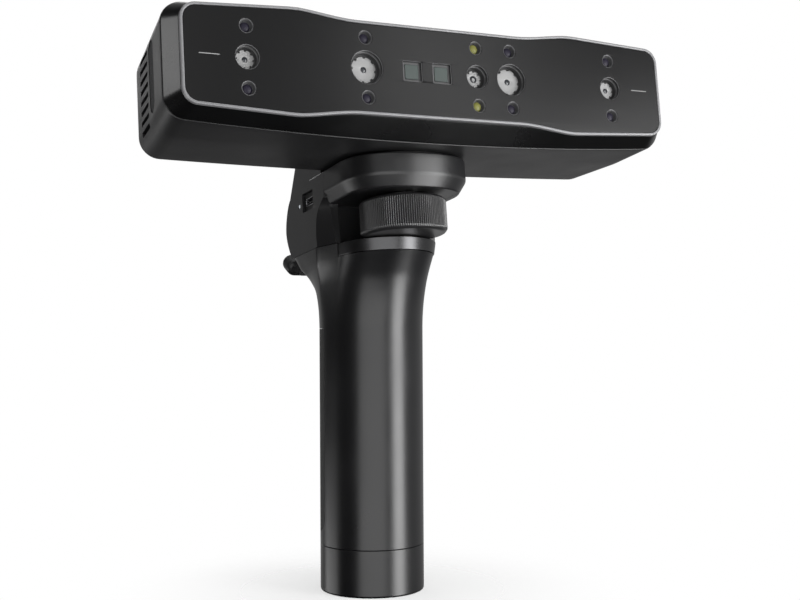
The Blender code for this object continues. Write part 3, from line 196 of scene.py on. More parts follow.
def loft(name, rings, closed=False):
    """A ring is extruded from outline to outline; a closed loft ends where it began, any other is capped."""
    obj = ring_of(name, rings[0])
    edit(obj, "EDGE")
    if not closed:
        bpy.ops.mesh.edge_face_add()
    for here, beyond in zip(rings, rings[1:] + (rings[:1] if closed else [])):
        bpy.ops.mesh.extrude_edges_indiv()
        move_ring(obj, here, beyond)
    if not closed:
        bpy.ops.mesh.edge_face_add()
    return tidy_mesh(obj)


def tidy_mesh(obj):
    """Merges doubles and turns every face outwards."""
    edit(obj, "VERT")
    bpy.ops.mesh.remove_doubles(threshold=TINY / 5)
    bpy.ops.mesh.delete_loose(use_verts=True, use_edges=True, use_faces=False)
    bpy.ops.mesh.select_all(action="SELECT")
    bpy.ops.mesh.normals_make_consistent(inside=False)
    bpy.ops.object.mode_set(mode="OBJECT")
    return obj


def spun(name, profile, steps=96, closed=False):
    """A profile of (radius, height) pairs spun round Z; an open one starts and ends on the axis."""
    obj = ring_of(name, [(radius, 0.0, height) for radius, height in profile])
    edit(obj, "EDGE")
    if not closed:
        bpy.ops.mesh.select_all(action="DESELECT")
        work = bmesh.from_edit_mesh(obj.data)
        for edge in work.edges:
            ends = {vertex.index for vertex in edge.verts}
            edge.select_set(ends == {0, len(profile) - 1})
        bmesh.update_edit_mesh(obj.data)
        bpy.ops.mesh.delete(type="EDGE")
        bpy.ops.mesh.select_all(action="SELECT")
    bpy.ops.mesh.spin(steps=steps, angle=math.tau, center=(0.0, 0.0, 0.0), axis=(0.0, 0.0, 1.0))
    return tidy_mesh(obj)


def plate(name, outlines, low, high, edge=0.0, turn=None, fine=2):
    """Flat outlines, the inner ones as holes, thickened from low to high along Z, with rounded edges."""
    curve = bpy.data.curves.new(name, "CURVE")
    curve.dimensions = "2D"
    curve.fill_mode = "BOTH"
    curve.extrude = (high - low) / 2 - edge
    curve.bevel_depth = edge
    curve.offset = -edge
    curve.bevel_resolution = fine
    for outline in outlines:
        spline = curve.splines.new("POLY")
        spline.points.add(len(outline) - 1)
        for point, (u, v) in zip(spline.points, outline):
            point.co = (u, v, 0.0, 1.0)
        spline.use_cyclic_u = True
    obj = bpy.data.objects.new(name, curve)
    bpy.context.scene.collection.objects.link(obj)
    pick(obj)
    bpy.ops.object.convert(target="MESH")
    obj = named(name)
    settle(obj, (turn or Matrix()) @ Matrix.Translation((0.0, 0.0, (low + high) / 2)))
    return tidy_mesh(obj)


def settle(obj, matrix):
    """Puts a piece in its place and leaves its object at the origin."""
    pick(obj)
    obj.matrix_world = matrix
    bpy.ops.object.transform_apply(location=True, rotation=True, scale=True)
    return obj


def apply_all(obj):
    pick(obj)
    for step in list(obj.modifiers):
        bpy.ops.object.modifier_apply(modifier=step.name)
    return obj


def join_shape(obj, other, operation="DIFFERENCE"):
    """A Boolean that is applied at once; the other shape is used up."""
    step = obj.modifiers.new("shape", "BOOLEAN")
    step.operation = operation
    step.solver = "EXACT"
    step.object = other
    apply_all(obj)
    bpy.data.objects.remove(other)
    return obj


def soften(obj, width, segments=3, angle=35.0):
    step = obj.modifiers.new("edges", "BEVEL")
    step.width = width
    step.segments = segments
    step.limit_method = "ANGLE"
    step.angle_limit = math.radians(angle)
    step.use_clamp_overlap = True
    return apply_all(obj)


def smooth(obj, angle=35.0):
    """Smooth shading up to this angle, with flat faces kept flat right up to their rounded edges."""
    pick(obj)
    bpy.ops.object.shade_smooth_by_angle(angle=math.radians(angle))
    step = obj.modifiers.new("weigh", "WEIGHTED_NORMAL")
    step.keep_sharp = True
    return apply_all(obj)


def done(obj, look, body, slot, *nodes, angle=35.0):
    """Smooths a piece, dresses it and makes it ride on its body in place of its CAD nodes."""
    smooth(obj, angle)
    obj.data.materials.clear()
    obj.data.materials.append(LOOKS[look])
    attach(obj, body)
    if nodes:
        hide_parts(*nodes)
    return obj


def circle(x, y, radius, steps=64):
    turns = [math.tau * i / steps for i in range(steps)]
    return [(x + radius * math.cos(turn), y + radius * math.sin(turn)) for turn in turns]


def arc(x, y, radius, quarter, steps):
    """A quarter of a circle, counted from the given quarter turn on."""
    turns = [(quarter + i / steps) * math.pi / 2 for i in range(steps + 1)]
    return [(x + radius * math.cos(turn), y + radius * math.sin(turn)) for turn in turns]


def rounded(left, low, right, high, radius, steps=8):
    """A rectangle's outline with rounded corners."""
    x0, x1, y0, y1 = left + radius, right - radius, low + radius, high - radius
    corners = enumerate(((x1, y0), (x1, y1), (x0, y1), (x0, y0)), -1)
    return [point for quarter, (x, y) in corners for point in arc(x, y, radius, quarter, steps)]


def oblong(wide, tall, radius, x=0.0, steps=8):
    """A rounded rectangle round (x, 0), from its half sizes."""
    return rounded(x - wide, -tall, x + wide, tall, radius, steps)


def mix(first, second, share):
    return first + (second - first) * share


def ease(share):
    share = min(max(share, 0.0), 1.0)
    return share * share * (3 - 2 * share)


def curved(points, spans=6):
    """A smooth run through these points."""
    found = []
    last = len(points) - 1
    for i in range(last):
        near = (points[max(i - 1, 0)], points[i], points[i + 1], points[min(i + 2, last)])
        for k in range(spans):
            t = k / spans
            spot = []
            for a, b, c, d in zip(*near):
                bend = (2 * a - 5 * b + 4 * c - d) * t * t + (3 * b - a - 3 * c + d) * t * t * t
                spot.append((2 * b + (c - a) * t + bend) / 2)
            found.append(tuple(spot))
    found.append(tuple(points[-1]))
    return found


def millimetres(*pairs):
    return [tuple(part * MM for part in pair) for pair in pairs]


def block(name, low, high, turn=None):
    """A plain box as a cutter, in millimetres of the given frame."""
    outline = millimetres((low[0], low[1]), (high[0], low[1]), (high[0], high[1]), (low[0], high[1]))
    return plate(name, [outline], low[2] * MM, high[2] * MM, turn=turn)


# finishes
def new_look(name):
    look = bpy.data.materials.new(name)
    look.use_nodes = True
    return look, look.node_tree, look.node_tree.nodes["Principled BSDF"]


def fill_in(tree, node, inputs):
    """Sets a node's inputs: another node's output is linked, anything else is the input's value."""
    for key, value in inputs.items():
        if isinstance(value, bpy.types.NodeSocket):
            tree.links.new(value, node.inputs[key])
        else:
            node.inputs[key].default_value = value


def add(tree, kind, output, inputs, **settings):
    """Adds a node and returns its output of this name."""
    node = tree.nodes.new("ShaderNode" + kind)
    for key, value in settings.items():
        setattr(node, key, value)
    fill_in(tree, node, inputs)
    return node.outputs[output]


def noise(tree, scale, detail):
    place = add(tree, "TexCoord", "Object", {})
    return add(tree, "TexNoise", "Fac", {"Vector": place, "Scale": scale, "Detail": detail})


def spread(tree, value, source, target, way="LINEAR"):
    """Maps one range of a value onto another."""
    ends = dict(zip(("From Min", "From Max", "To Min", "To Max"), source + target))
    return add(tree, "MapRange", "Result", {"Value": value, **ends}, interpolation_type=way)


def raised(tree, height, strength, distance):
    return add(tree, "Bump", "Normal", {"Strength": strength, "Distance": distance, "Height": height})


def moulded(name, colour, roughness=0.42, grain=0.16, bump=0.06, wear=0.35, specular=0.5):
    """Moulded plastic or satin coat: a fine grain, uneven gloss and faintly varied colour."""
    look, tree, shader = new_look(name)
    broad = noise(tree, 38.0, 4.0)
    shade = spread(tree, broad, (0.3, 0.7), (1 - wear * 0.35, 1 + wear * 0.35))
    tint = {"Factor": 1.0, "A": (*colour, 1.0), "B": shade}
    inputs = {
        "Specular IOR Level": specular,
        "Base Color": add(tree, "Mix", "Result", tint, data_type="RGBA", blend_type="MULTIPLY"),
        "Roughness": spread(tree, broad, (0.25, 0.75), (roughness - 0.04, roughness + 0.05)),
    }
    if bump:
        inputs["Normal"] = raised(tree, noise(tree, 1 / (grain * MM), 2.0), bump, grain * MM)
    fill_in(tree, shader, inputs)
    return look


def glassy(name, colour, roughness, specular=0.5):
    """Polished glass, lamp domes and gloss panels, with faint smears in the gloss."""
    look, tree, shader = new_look(name)
    gloss = spread(tree, noise(tree, 24.0, 3.0), (0.3, 0.7), (roughness * 0.94, roughness * 1.08))
    fill_in(tree, shader, {"Base Color": (*colour, 1.0), "Specular IOR Level": specular, "Roughness": gloss})
    return look


def metal(name, colour, roughness, bump=0.03):
    """Satin metal with a fine grain."""
    look, tree, shader = new_look(name)
    grain = noise(tree, 2500.0, 3.0)
    shade = add(tree, "ValToRGB", "Color", {"Fac": grain})
    for element, position, share in zip(shade.node.color_ramp.elements, (0.25, 0.75), (0.86, 1.0)):
        element.position = position
        element.color = (*[part * share for part in colour], 1.0)
    gloss = spread(tree, grain, (0.0, 1.0), (roughness * 0.85, roughness * 1.2))
    relief = raised(tree, grain, bump, 0.05 * MM)
    fill_in(tree, shader, {"Metallic": 1.0, "Base Color": shade, "Roughness": gloss, "Normal": relief})
    return look


LOOKS = {}


def make_looks():
    head = head_settings()
    LOOKS.update(
        shell=moulded("shell_black", head.shell, 0.4, bump=0.05, specular=0.45),
        bezel=moulded("bezel_satin", [part * 0.3 for part in head.shell], 0.28, bump=0.03, specular=0.45),
        panel=glassy("panel_satin", head.panel, 0.2, specular=0.1),
        rim=moulded("rim_silver", head.rim, 0.38, grain=0.1, bump=0.01, wear=0.2, specular=0.6),
        grip=moulded("grip_satin", grip_settings().colour, 0.3, bump=0.02),
        inlay=moulded("inlay_rubber", (0.006, 0.006, 0.006), 0.55, grain=0.3, bump=0.15),
        knob=moulded("knob_satin", (0.0105, 0.0105, 0.011), 0.3, bump=0.02, specular=0.7),
        cradle=moulded("cradle_satin", (0.0065, 0.0065, 0.007), 0.33, bump=0.03),
        collar=metal("collar_satin", (0.07, 0.07, 0.072), 0.3, bump=0.01),
        rubber=moulded("pad_rubber", (0.01, 0.01, 0.01), 0.8, grain=0.5, bump=0.3, specular=0.25),
        dark=moulded("recess_dark", (0.004, 0.004, 0.004), 0.5, bump=0.02),
        ring=moulded("retaining_ring", (0.21, 0.21, 0.21), 0.4, grain=0.1, bump=0.03, wear=0.3),
        eye=glassy("lens_glass", (0.02, 0.022, 0.026), 0.18, 0.5),
        square=glassy("projector_glass", (0.05, 0.06, 0.057), 0.3, 0.1),
        violet=glassy("infrared_dome", (0.015, 0.0135, 0.022), 0.4, 0.15),
        yellow=glassy("white_lamp_dome", (0.13, 0.13, 0.035), 0.35, 0.2),
        tick=moulded("printed_line", (0.2, 0.2, 0.2), 0.5, bump=0.0),
        # painted light: the well colour is set much lighter than the panel, standing in for the light that hardly
        # reaches into the recesses
        well=moulded("well_with_painted_light", (0.05, 0.05, 0.051), 0.4, bump=0.02, specular=0.3),
        # painted light: the lamp cups' colour is set lighter, standing in for the light that hardly reaches into the
        # cups
        cup=moulded("lamp_cup_with_painted_light", (0.06, 0.06, 0.062), 0.4, bump=0.02, specular=0.3),
        liner=moulded("window_liner", (0.06, 0.06, 0.062), 0.35, bump=0.02),
        mesh=moulded("groove_mesh", (0.012, 0.012, 0.013), 0.6, grain=0.6, bump=0.9, wear=1.0),
        steel=metal("steel", (0.5, 0.5, 0.52), 0.28),
        brass=metal("brass", (0.72, 0.53, 0.22), 0.3),
        alloy=metal("bare_alloy", (0.5, 0.51, 0.52), 0.35),
        board=moulded("solder_mask", (0.012, 0.1, 0.03), 0.35, grain=0.6, bump=0.05),
        cell=moulded("cell_sleeve", (0.03, 0.09, 0.3), 0.3, bump=0.02),
        clear=glassy("clear_light", (0.75, 0.8, 0.85), 0.12),
        button=moulded("button_grey", (0.05, 0.05, 0.053), 0.4, bump=0.08),
    )


NODE_LOOKS = {
    "base_cap": "grip", "battery_cell": "cell", "cell_holder": "dark", "clamp_back": "shell", "clamp_knob": "knob",
    "clamp_screw": "steel", "collar_ring": "collar", "cradle": "cradle", "front_bezel": "bezel",
    "front_panel": "panel", "grip_socket": "dark", "handle_shell": "grip", "head_socket": "steel",
    "heat_sink": "alloy", "lamp_board": "board", "lower_jaw_pad": "rubber", "main_board": "board",
    "optical_bench": "alloy", "power_board": "board", "projector": "dark", "rear_housing": "shell",
    "rear_inlay": "inlay", "rim_trim": "rim", "rubber_pad": "rubber", "scan_button": "button",
    "status_light": "clear", "thread_insert": "brass", "tripod_insert": "brass", "upper_jaw": "shell",
    "upper_jaw_pad": "rubber",
}


NAME_LOOKS = {"_barrel": "ring", "infrared": "violet", "white": "yellow", "projector_window": "square", "": "eye"}


def look_of(node):
    """A node's finish: its own, or else the first that goes by a part of its name."""
    found = [look for part, look in NAME_LOOKS.items() if part in node]
    return LOOKS[NODE_LOOKS.get(node, found[0])]


class SCANNER_OT_dress_solids(bpy.types.Operator):
    """Gives every carried-over solid its finish"""

    bl_idname = "scanner.dress_solids"
    bl_label = "Dress the solids"

    def execute(self, context):
        make_looks()
        for name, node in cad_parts.items():
            if not node.material_slots:
                raise RuntimeError(f"{name} has no material slot")
            for slot in node.material_slots:
                slot.material = look_of(name)
        return {"FINISHED"}


# the head
CREASE_Y = 9.2 * MM
TRIM_BACK = 1.3 * MM
FLAT_Y = 30.0 * MM
REAR_Y = 62.1 * MM
CREASE_HALF = 102.9 * MM
SEAM = 0.3 * MM
WALL = 2.0 * MM
REAR_EDGE = 4.6 * MM
REAR_Z = -3.0 * MM
BUTTON_X = -40.0 * MM
PORT_X = 40.0 * MM
CLAMP_Y = 38.75 * MM


def rim_half_height(share):
    """Half height of the rim: narrow waist, bump, then a straight taper."""
    rise = ease((share - 0.33) / (0.61 - 0.33))
    fall = max(share - 0.56, 0.0) / (1 - 0.56)
    return (17.35 + 2.55 * rise - 2.25 * fall) * MM


def head_outline(y, inset=0.0, spans=120):
    """The head's outline (x, z) at a depth, moved inwards by an inset."""
    half_length = head_settings().half_length
    share = min(max(y - TRIM_BACK, 0.0) / (CREASE_Y - TRIM_BACK), 1.0)
    back = max(y - CREASE_Y, 0.0)
    half = mix(half_length, CREASE_HALF, share)
    half = mix(half, half_length, back / (REAR_Y - CREASE_Y)) - inset
    slope = min(back / (FLAT_Y - CREASE_Y), 1.0)
    top_plain = mix(20.9 * MM, 16.8 * MM, back / (REAR_Y - CREASE_Y))
    low_plain = mix(24.4 * MM, 24.1 * MM, slope)
    drop = mix(3.7 * MM, 1.7 * MM, slope)
    corner = max(mix(6.0 * MM, 7.9 * MM, share) - inset, 0.8 * MM)
    reach = half - corner

    def top(x):
        return mix(rim_half_height(abs(x) / half_length), top_plain, share) - inset

    def low(x):
        bow = drop * (x / CREASE_HALF) ** 2
        return -mix(rim_half_height(abs(x) / half_length), low_plain - bow, share) + inset

    found = []
    for side, edge, first in ((1, low, -1), (1, top, 0), (-1, top, 1), (-1, low, 2)):
        level = edge(side * reach)
        middle = level + corner if edge is low else level - corner
        found += arc(side * reach, middle, corner, first, 10)
        if first in (0, 2):
            for i in range(1, spans):
                x = mix(side * reach, -side * reach, i / spans)
                found.append((x, edge(x)))
    return found


def head_rings(path):
    """The head's outlines along a path of (depth, inset) pairs."""
    return [[Vector((x, y, z)) for x, z in head_outline(y, inset)] for y, inset in path]


class SCANNER_OT_head_rim(bpy.types.Operator):
    """Models the bright rim round the window panel, with a rounded bead in front"""

    bl_idname = "scanner.head_rim"
    bl_label = "Head rim"

    def execute(self, context):
        width = head_settings().rim_width
        bead = [(TRIM_BACK, 0.0), (0.25 * MM, 0.0), (-0.08 * MM, 0.1 * MM), (-0.2 * MM, 0.34 * MM)]
        bead += [(y, width - inset) for y, inset in bead[::-1]]
        rim = settle(loft("head_rim", head_rings(bead), closed=True), HEAD)
        done(rim, "rim", "scanner", "trim_silver", "rim_trim")
        return {"FINISHED"}


class SCANNER_OT_head_bezel(bpy.types.Operator):
    """Models the bezel that flares from the rim to the crease"""

    bl_idname = "scanner.head_bezel"
    bl_label = "Head bezel"

    def execute(self, context):
        end = CREASE_Y - SEAM / 2
        path = [(1.5 * MM, 0.05 * MM), (1.7 * MM, 0.0), (CREASE_Y / 3, 0.0), (CREASE_Y * 0.66, 0.0)]
        path += [(end - 0.5 * MM, 0.0), (end - 0.15 * MM, 0.08 * MM), (end, 0.3 * MM)]
        path += [(end, WALL), (CREASE_Y / 2, WALL)]
        path += [(3.0 * MM, WALL), (3.0 * MM, 3.1 * MM), (1.5 * MM, 3.1 * MM)]
        bezel = settle(loft("head_bezel", head_rings(path), closed=True), HEAD)
        done(bezel, "bezel", "scanner", "bezel_black", "front_bezel", angle=40)
        return {"FINISHED"}


GRILLE_SLOTS = 8
GRILLE_PITCH = 3.85 * MM
GRILLE_SLOT = 1.85 * MM


def slot_cutter(side, outline, depth):
    """A cutter through one end of the head, from an outline in (y, z)."""
    low, high = sorted((side * (CREASE_HALF + MM), side * (CREASE_HALF - depth)))
    return plate("slot_cutter", [outline], low, high, turn=SIDEWAYS)


class SCANNER_OT_head_housing(bpy.types.Operator):
    """Models the rear housing with its end grooves, grilles and rear openings"""

    bl_idname = "scanner.head_housing"
    bl_label = "Head housing"

    def execute(self, context):
        start = CREASE_Y + SEAM / 2
        path = [(start, 0.3 * MM), (start + 0.15 * MM, 0.08 * MM), (start + 0.5 * MM, 0.0)]
        path += [(mix(start, FLAT_Y, i / 5), 0.0) for i in range(1, 6)]
        path += [(mix(FLAT_Y, REAR_Y - REAR_EDGE, i / 3), 0.0) for i in range(1, 4)]
        housing = loft("head_housing", head_rings(path + self.rear(0.0)))
        room = [(start - MM, WALL), (start, WALL), (FLAT_Y, WALL)] + self.rear(WALL)
        join_shape(housing, loft("housing_room", head_rings(room)))
        for side in (-1, 1):
            self.cut_end(housing, side)
        self.drill(housing, 6.3 * MM, Matrix.Translation((BUTTON_X, REAR_Y - 4 * MM, REAR_Z)) @ BACKWARDS)
        port = rounded(35.3 * MM, -4.8 * MM, 44.7 * MM, -1.2 * MM, 1.75 * MM)
        join_shape(housing, plate("port_cutter", [port], -REAR_Y - MM, -REAR_Y + 4 * MM, turn=FORWARDS))
        self.drill(housing, 5.4 * MM, Matrix.Translation((0.0, CLAMP_Y, -28 * MM)))
        settle(housing, HEAD)
        done(housing, "shell", "scanner", "housing_black", "rear_housing", angle=28)
        return {"FINISHED"}

    @staticmethod
    def drill(housing, radius, spot):
        hole = spun("hole", [(0.0, 0.0), (radius, 0.0), (radius, 8 * MM), (0.0, 8 * MM)])
        join_shape(housing, settle(hole, spot))

    @staticmethod
    def rear(inset, steps=6):
        """(depth, inset) pairs round the rear edge."""
        middle = REAR_Y - REAR_EDGE
        reach = REAR_EDGE - inset
        turns = [math.pi / 2 * i / steps for i in range(steps + 1)]
        return [(middle + reach * math.sin(turn), inset + reach * (1 - math.cos(turn))) for turn in turns]

    @staticmethod
    def cut_end(housing, side):
        groove = rounded(23.8 * MM, -13.8 * MM, 32.4 * MM, 12.9 * MM, 4.2 * MM, 12)
        join_shape(housing, slot_cutter(side, groove, 2.4 * MM))
        for i in range(GRILLE_SLOTS):
            top = 11.6 * MM - GRILLE_PITCH * i
            slot = rounded(35.2 * MM, top - GRILLE_SLOT, 50.2 * MM, top, 0.85 * MM, 5)
            join_shape(housing, slot_cutter(side, slot, 8.5 * MM))
        strip = rounded(24.0 * MM, -13.6 * MM, 32.2 * MM, 12.7 * MM, 4.0 * MM, 12)
        screen = rounded(33.6 * MM, -14.4 * MM, 51.8 * MM, 13.2 * MM, MM)
        for name, outline, look, near, far, edge in (
            ("groove_mesh", strip, "mesh", 100.5, 100.85, 0.1),
            ("grille_screen", screen, "dark", 96.2, 96.8, 0.0),
        ):
            low, high = sorted((side * near * MM, side * far * MM))
            sheet = plate(name, [outline], low, high, edge=edge * MM, turn=HEAD @ SIDEWAYS)
            done(sheet, look, "scanner", "housing_black")


WINDOWS = {
    "left_outer": (-75.0, 4.5, 3.4, 1.0),
    "left_inner": (-30.0, 6.3, 4.85, 1.15),
    "colour": (15.25, 4.6, 3.2, 1.4),
    "right_inner": (30.0, 6.2, 4.95, 1.15),
    "right_outer": (75.0, 4.6, 3.35, 1.0),
}
LAMPS = {"infrared_a": -75.0, "infrared_b": -30.0, "white": 15.25, "infrared_c": 30.0, "infrared_d": 75.0}
LAMP_HEIGHT = 11.1 * MM
LAMP_RADIUS = 2.65 * MM
SQUARES = {"left": -11.7, "right": 0.4}
SQUARE_HALF = 3.9 * MM


class SCANNER_OT_face_panel(bpy.types.Operator):
    """Models the gloss panel with its windows' rounded edges, and the two printed lines"""

    bl_idname = "scanner.face_panel"
    bl_label = "Face panel"

    def execute(self, context):
        sheet = head_outline(0.0, head_settings().rim_width + 0.06 * MM)
        holes = [circle(x * MM, 0.0, radius * MM) for x, radius, ring, eye in WINDOWS.values()]
        for x in LAMPS.values():
            holes += [circle(x * MM, side * LAMP_HEIGHT, LAMP_RADIUS, 48) for side in (-1, 1)]
        holes += [oblong(SQUARE_HALF, SQUARE_HALF, 0.6 * MM, x * MM) for x in SQUARES.values()]
        panel = plate("face_panel", [sheet] + holes, -1.3 * MM, 0.0, edge=0.16 * MM, turn=FORWARDS)
        settle(panel, HEAD)
        done(panel, "panel", "scanner", "panel_gloss", "front_panel")
        for side, x in (("left", -88.75), ("right", 88.75)):
            line = oblong(3.63 * MM, 0.15 * MM, 0.05 * MM, x * MM, 2)
            tick = plate(f"{side}_line", [line], -0.02 * MM, 0.03 * MM, turn=FORWARDS)
            settle(tick, HEAD)
            done(tick, "tick", "scanner", "trim_silver")
        return {"FINISHED"}


def notched(radius, notches, depth, steps=14):
    """A retaining ring's outline with narrow notches."""
    found = []
    for i in range(notches):
        for k in range(steps):
            turn = math.tau * (i + k / steps) / notches
            reach = radius - depth if k < 4 else radius
            found.append((reach * math.cos(turn), reach * math.sin(turn)))
    return found


def liner(name, radius, spot, depth):
    """The thin ring inside a window's edge."""
    inside = radius - 0.16 * MM
    outside = radius - 0.02 * MM
    profile = [(outside, 0.15 * MM), (inside, 0.2 * MM), (inside, depth), (outside, depth)]
    ring = settle(spun(name, profile, 64, closed=True), spot)
    done(ring, "liner", "scanner", "barrel_alloy")


class SCANNER_OT_cameras(bpy.types.Operator):
    """Models each camera: a dark well, a pale notched retaining ring and the glass in its middle"""

    bl_idname = "scanner.cameras"
    bl_label = "Cameras"

    def execute(self, context):
        head = head_settings()
        for name, (x, radius, ring, eye) in WINDOWS.items():
            spot = HEAD @ Matrix.Translation((x * MM, 0.0, 0.0)) @ BACKWARDS
            radius, ring, eye = radius * MM, ring * MM, eye * MM
            deep = head.lens_depth
            wall = 0.9 * MM
            profile = [(radius + wall, 1.32 * MM), (radius + 0.05 * MM, 1.32 * MM), (radius + 0.05 * MM, 2.0 * MM)]
            profile += [(radius - 0.35 * MM, 2.3 * MM), (radius - 0.35 * MM, deep + MM), (0.0, deep + MM)]
            profile += [(0.0, deep + 2 * MM), (radius + wall, deep + 2 * MM)]
            # the well's colour carries painted light: it is lighter than the panel to make up for the little light
            # inside the recess
            well = settle(spun(f"{name}_well", profile, 64, closed=True), spot)
            done(well, "well", "scanner", "barrel_alloy", f"{name}_barrel")
            liner(f"{name}_liner", radius, spot, 0.65 * MM)
            notches = head.lens_notches
            disc = plate(
                f"{name}_retaining_ring",
                [notched(ring, notches, 0.55 * MM), circle(0.0, 0.0, eye)],
                deep,
                deep + 0.9 * MM,
                edge=0.08 * MM,
            )
            settle(disc, spot)
            done(disc, "ring", "scanner", "barrel_alloy")
            dome = [(0.0, deep + 0.05 * MM)]
            dome += [
                (eye * math.sin(turn), deep + 0.05 * MM + eye * 0.35 * (1 - math.cos(turn)))
                for turn in [math.pi / 2 * i / 8 for i in range(1, 9)]
            ]
            dome += [(eye, deep + 0.95 * MM), (0.0, deep + 0.95 * MM)]
            glass = settle(spun(f"{name}_lens", dome, 48), spot)
            done(glass, "eye", "scanner", "window_glass", f"{name}_window")
            if name == "colour":
                core = [(0.0, deep - 0.05 * MM), (0.55 * MM, deep), (0.7 * MM, deep + 0.2 * MM)]
                core += [(0.7 * MM, deep + 0.9 * MM), (0.0, deep + 0.9 * MM)]
                stop = settle(spun("colour_stop", core, 32), spot)
                done(stop, "ring", "scanner", "barrel_alloy")
        return {"FINISHED"}


class SCANNER_OT_lamps(bpy.types.Operator):
    """Models the round lamps: a dark cup with a small tinted dome"""

    bl_idname = "scanner.lamps"
    bl_label = "Lamps"

    def execute(self, context):
        for name, x in LAMPS.items():
            for side, height in (("upper", LAMP_HEIGHT), ("lower", -LAMP_HEIGHT)):
                spot = HEAD @ Matrix.Translation((x * MM, 0.0, height)) @ BACKWARDS
                reach = LAMP_RADIUS - 0.12 * MM
                floor = 2.1 * MM
                profile = [(reach, 0.35 * MM), (reach - 0.1 * MM, 0.3 * MM), (reach - 0.2 * MM, 0.35 * MM)]
                profile += [(reach - 0.2 * MM, 1.0 * MM), (reach - 0.45 * MM, floor), (0.0, floor)]
                profile += [(0.0, 3.6 * MM), (reach, 3.6 * MM)]
                # the cup's colour carries painted light: it is lighter to make up for the little light inside the cup
                cup = settle(spun(f"{name}_{side}_cup", profile, 48, closed=True), spot)
                white = name == "white"
                slot = "white_lamp" if white else "infrared_lamp"
                done(cup, "cup", "scanner", slot)
                liner(f"{name}_{side}_liner", LAMP_RADIUS, spot, 0.75 * MM)
                wide = reach - 0.65 * MM
                profile = [
                    (wide * math.cos(turn), floor - 0.02 * MM - 0.75 * MM * math.sin(turn))
                    for turn in [math.pi / 2 * i / 8 for i in range(9)]
                ]
                profile = [(0.0, floor - 0.01 * MM)] + profile
                profile[-1] = (0.0, profile[-1][1])
                dome = settle(spun(f"{name}_{side}_dome", profile, 48), spot)
                look = "yellow" if white else "violet"
                done(dome, look, "scanner", slot, f"{name}_{side}_lamp")
        return {"FINISHED"}


class SCANNER_OT_projector(bpy.types.Operator):
    """Models the two square projector windows: a stepped well with a pale square at its bottom"""

    bl_idname = "scanner.projector"
    bl_label = "Projector windows"

    def execute(self, context):
        for side, x in SQUARES.items():
            middle = x * MM
            half = SQUARE_HALF - 0.05 * MM
            outer = rounded(middle - half, -half, middle + half, half, 0.55 * MM)
            half = 2.8 * MM
            inner = rounded(middle - half, -half, middle + half, half, 0.3 * MM)
            # the square well's colour carries painted light: it is lighter than the panel to make up for the little
            # light inside the recess
            well = plate(f"{side}_square_well", [outer, inner], -2.4 * MM, -1.15 * MM, edge=0.1 * MM, turn=FORWARDS)
            settle(well, HEAD)
            done(well, "well", "scanner", "projector_alloy")
            half = SQUARE_HALF - 0.02 * MM
            edges = [rounded(middle - half, -half, middle + half, half, 0.58 * MM)]
            half = SQUARE_HALF - 0.16 * MM
            edges.append(rounded(middle - half, -half, middle + half, half, 0.44 * MM))
            edging = plate(f"{side}_square_liner", edges, -0.7 * MM, -0.16 * MM, turn=FORWARDS)
            settle(edging, HEAD)
            done(edging, "liner", "scanner", "projector_alloy")
            half = 2.7 * MM
            pane = rounded(middle - half, -half, middle + half, half, 0.2 * MM)
            glass = plate(f"{side}_square_glass", [pane], -1.7 * MM, -1.0 * MM, edge=0.12 * MM, turn=FORWARDS)
            settle(glass, HEAD)
            done(glass, "square", "scanner", "square_glass", f"{side}_projector_window")
        return {"FINISHED"}


# clamp, knob and collar


class SCANNER_OT_knob(bpy.types.Operator):
    """Models the clamp knob with its fine knurl"""

    bl_idname = "scanner.knob"
    bl_label = "Clamp knob"

    def execute(self, context):
        clamp = clamp_settings()
        radius, depth, ridges = clamp.knob_radius, clamp.ridge_depth, clamp.ridges
        steps = ridges * 6

        def ring(height, reach, cut):
            found = []
            for i in range(steps):
                turn = math.tau * i / steps
                wave = (0.0, 0.1, 0.75, 1.0, 0.75, 0.1)[i % 6]
                here = reach - cut * wave
                found.append(Vector((here * math.cos(turn), here * math.sin(turn), height)))
            return found

        rings = [ring(-38.2 * MM, radius - 7 * MM, 0.0), ring(-39.5 * MM, radius - 7 * MM, 0.0)]
        rings += [ring(-39.5 * MM, radius - 1.6 * MM, 0.0), ring(-39.8 * MM, radius - 0.9 * MM, 0.0)]
        rings += [ring(-40.3 * MM, radius - 0.35 * MM, 0.0), ring(-40.7 * MM, radius - 0.05 * MM, depth * 0.4)]
        rings += [ring(-41.1 * MM, radius, depth), ring(-51.6 * MM, radius, depth)]
        rings += [ring(-52.0 * MM, radius - 0.1 * MM, depth * 0.6), ring(-52.5 * MM, radius - 0.45 * MM, 0.0)]
        rings += [ring(-53.0 * MM, radius - 0.9 * MM, 0.0), ring(-53.3 * MM, radius - 1.5 * MM, 0.0)]
        rings += [ring(-53.4 * MM, radius - 2.4 * MM, 0.0)]
        knob = loft("knurled_knob", rings)
        settle(knob, HEAD @ Matrix.Translation((0.0, CLAMP_Y, 0.0)))
        done(knob, "knob", "knob", "knob_black", "clamp_knob", angle=50)
        return {"FINISHED"}


class SCANNER_OT_collar(bpy.types.Operator):
    """Models the satin collar under the knob"""

    bl_idname = "scanner.collar"
    bl_label = "Collar"

    def execute(self, context):
        profile = [(20.56, -58.7), (20.66, -58.45), (21.4, -54.3), (21.4, -54.05), (21.2, -53.95)]
        profile += [(15.2, -53.95), (15.0, -54.1), (15.0, -58.7)]
        profile = [(radius * MM, height * MM) for radius, height in profile]
        collar = spun("satin_collar", profile, 128, closed=True)
        settle(collar, HEAD @ Matrix.Translation((0.0, 59.0 * MM, 0.0)))
        done(collar, "collar", "scanner", "collar_satin", "collar_ring")
        return {"FINISHED"}


CHEEK_X = 26.1 * MM
COLLAR_TOP = -53.95 * MM
COLLAR_BOTTOM = -58.94 * MM
COLLAR_Y = 59.0 * MM
PLATFORM_POWER = 2.4


def signed_power(value, power):
    return math.copysign(abs(value) ** power, value)


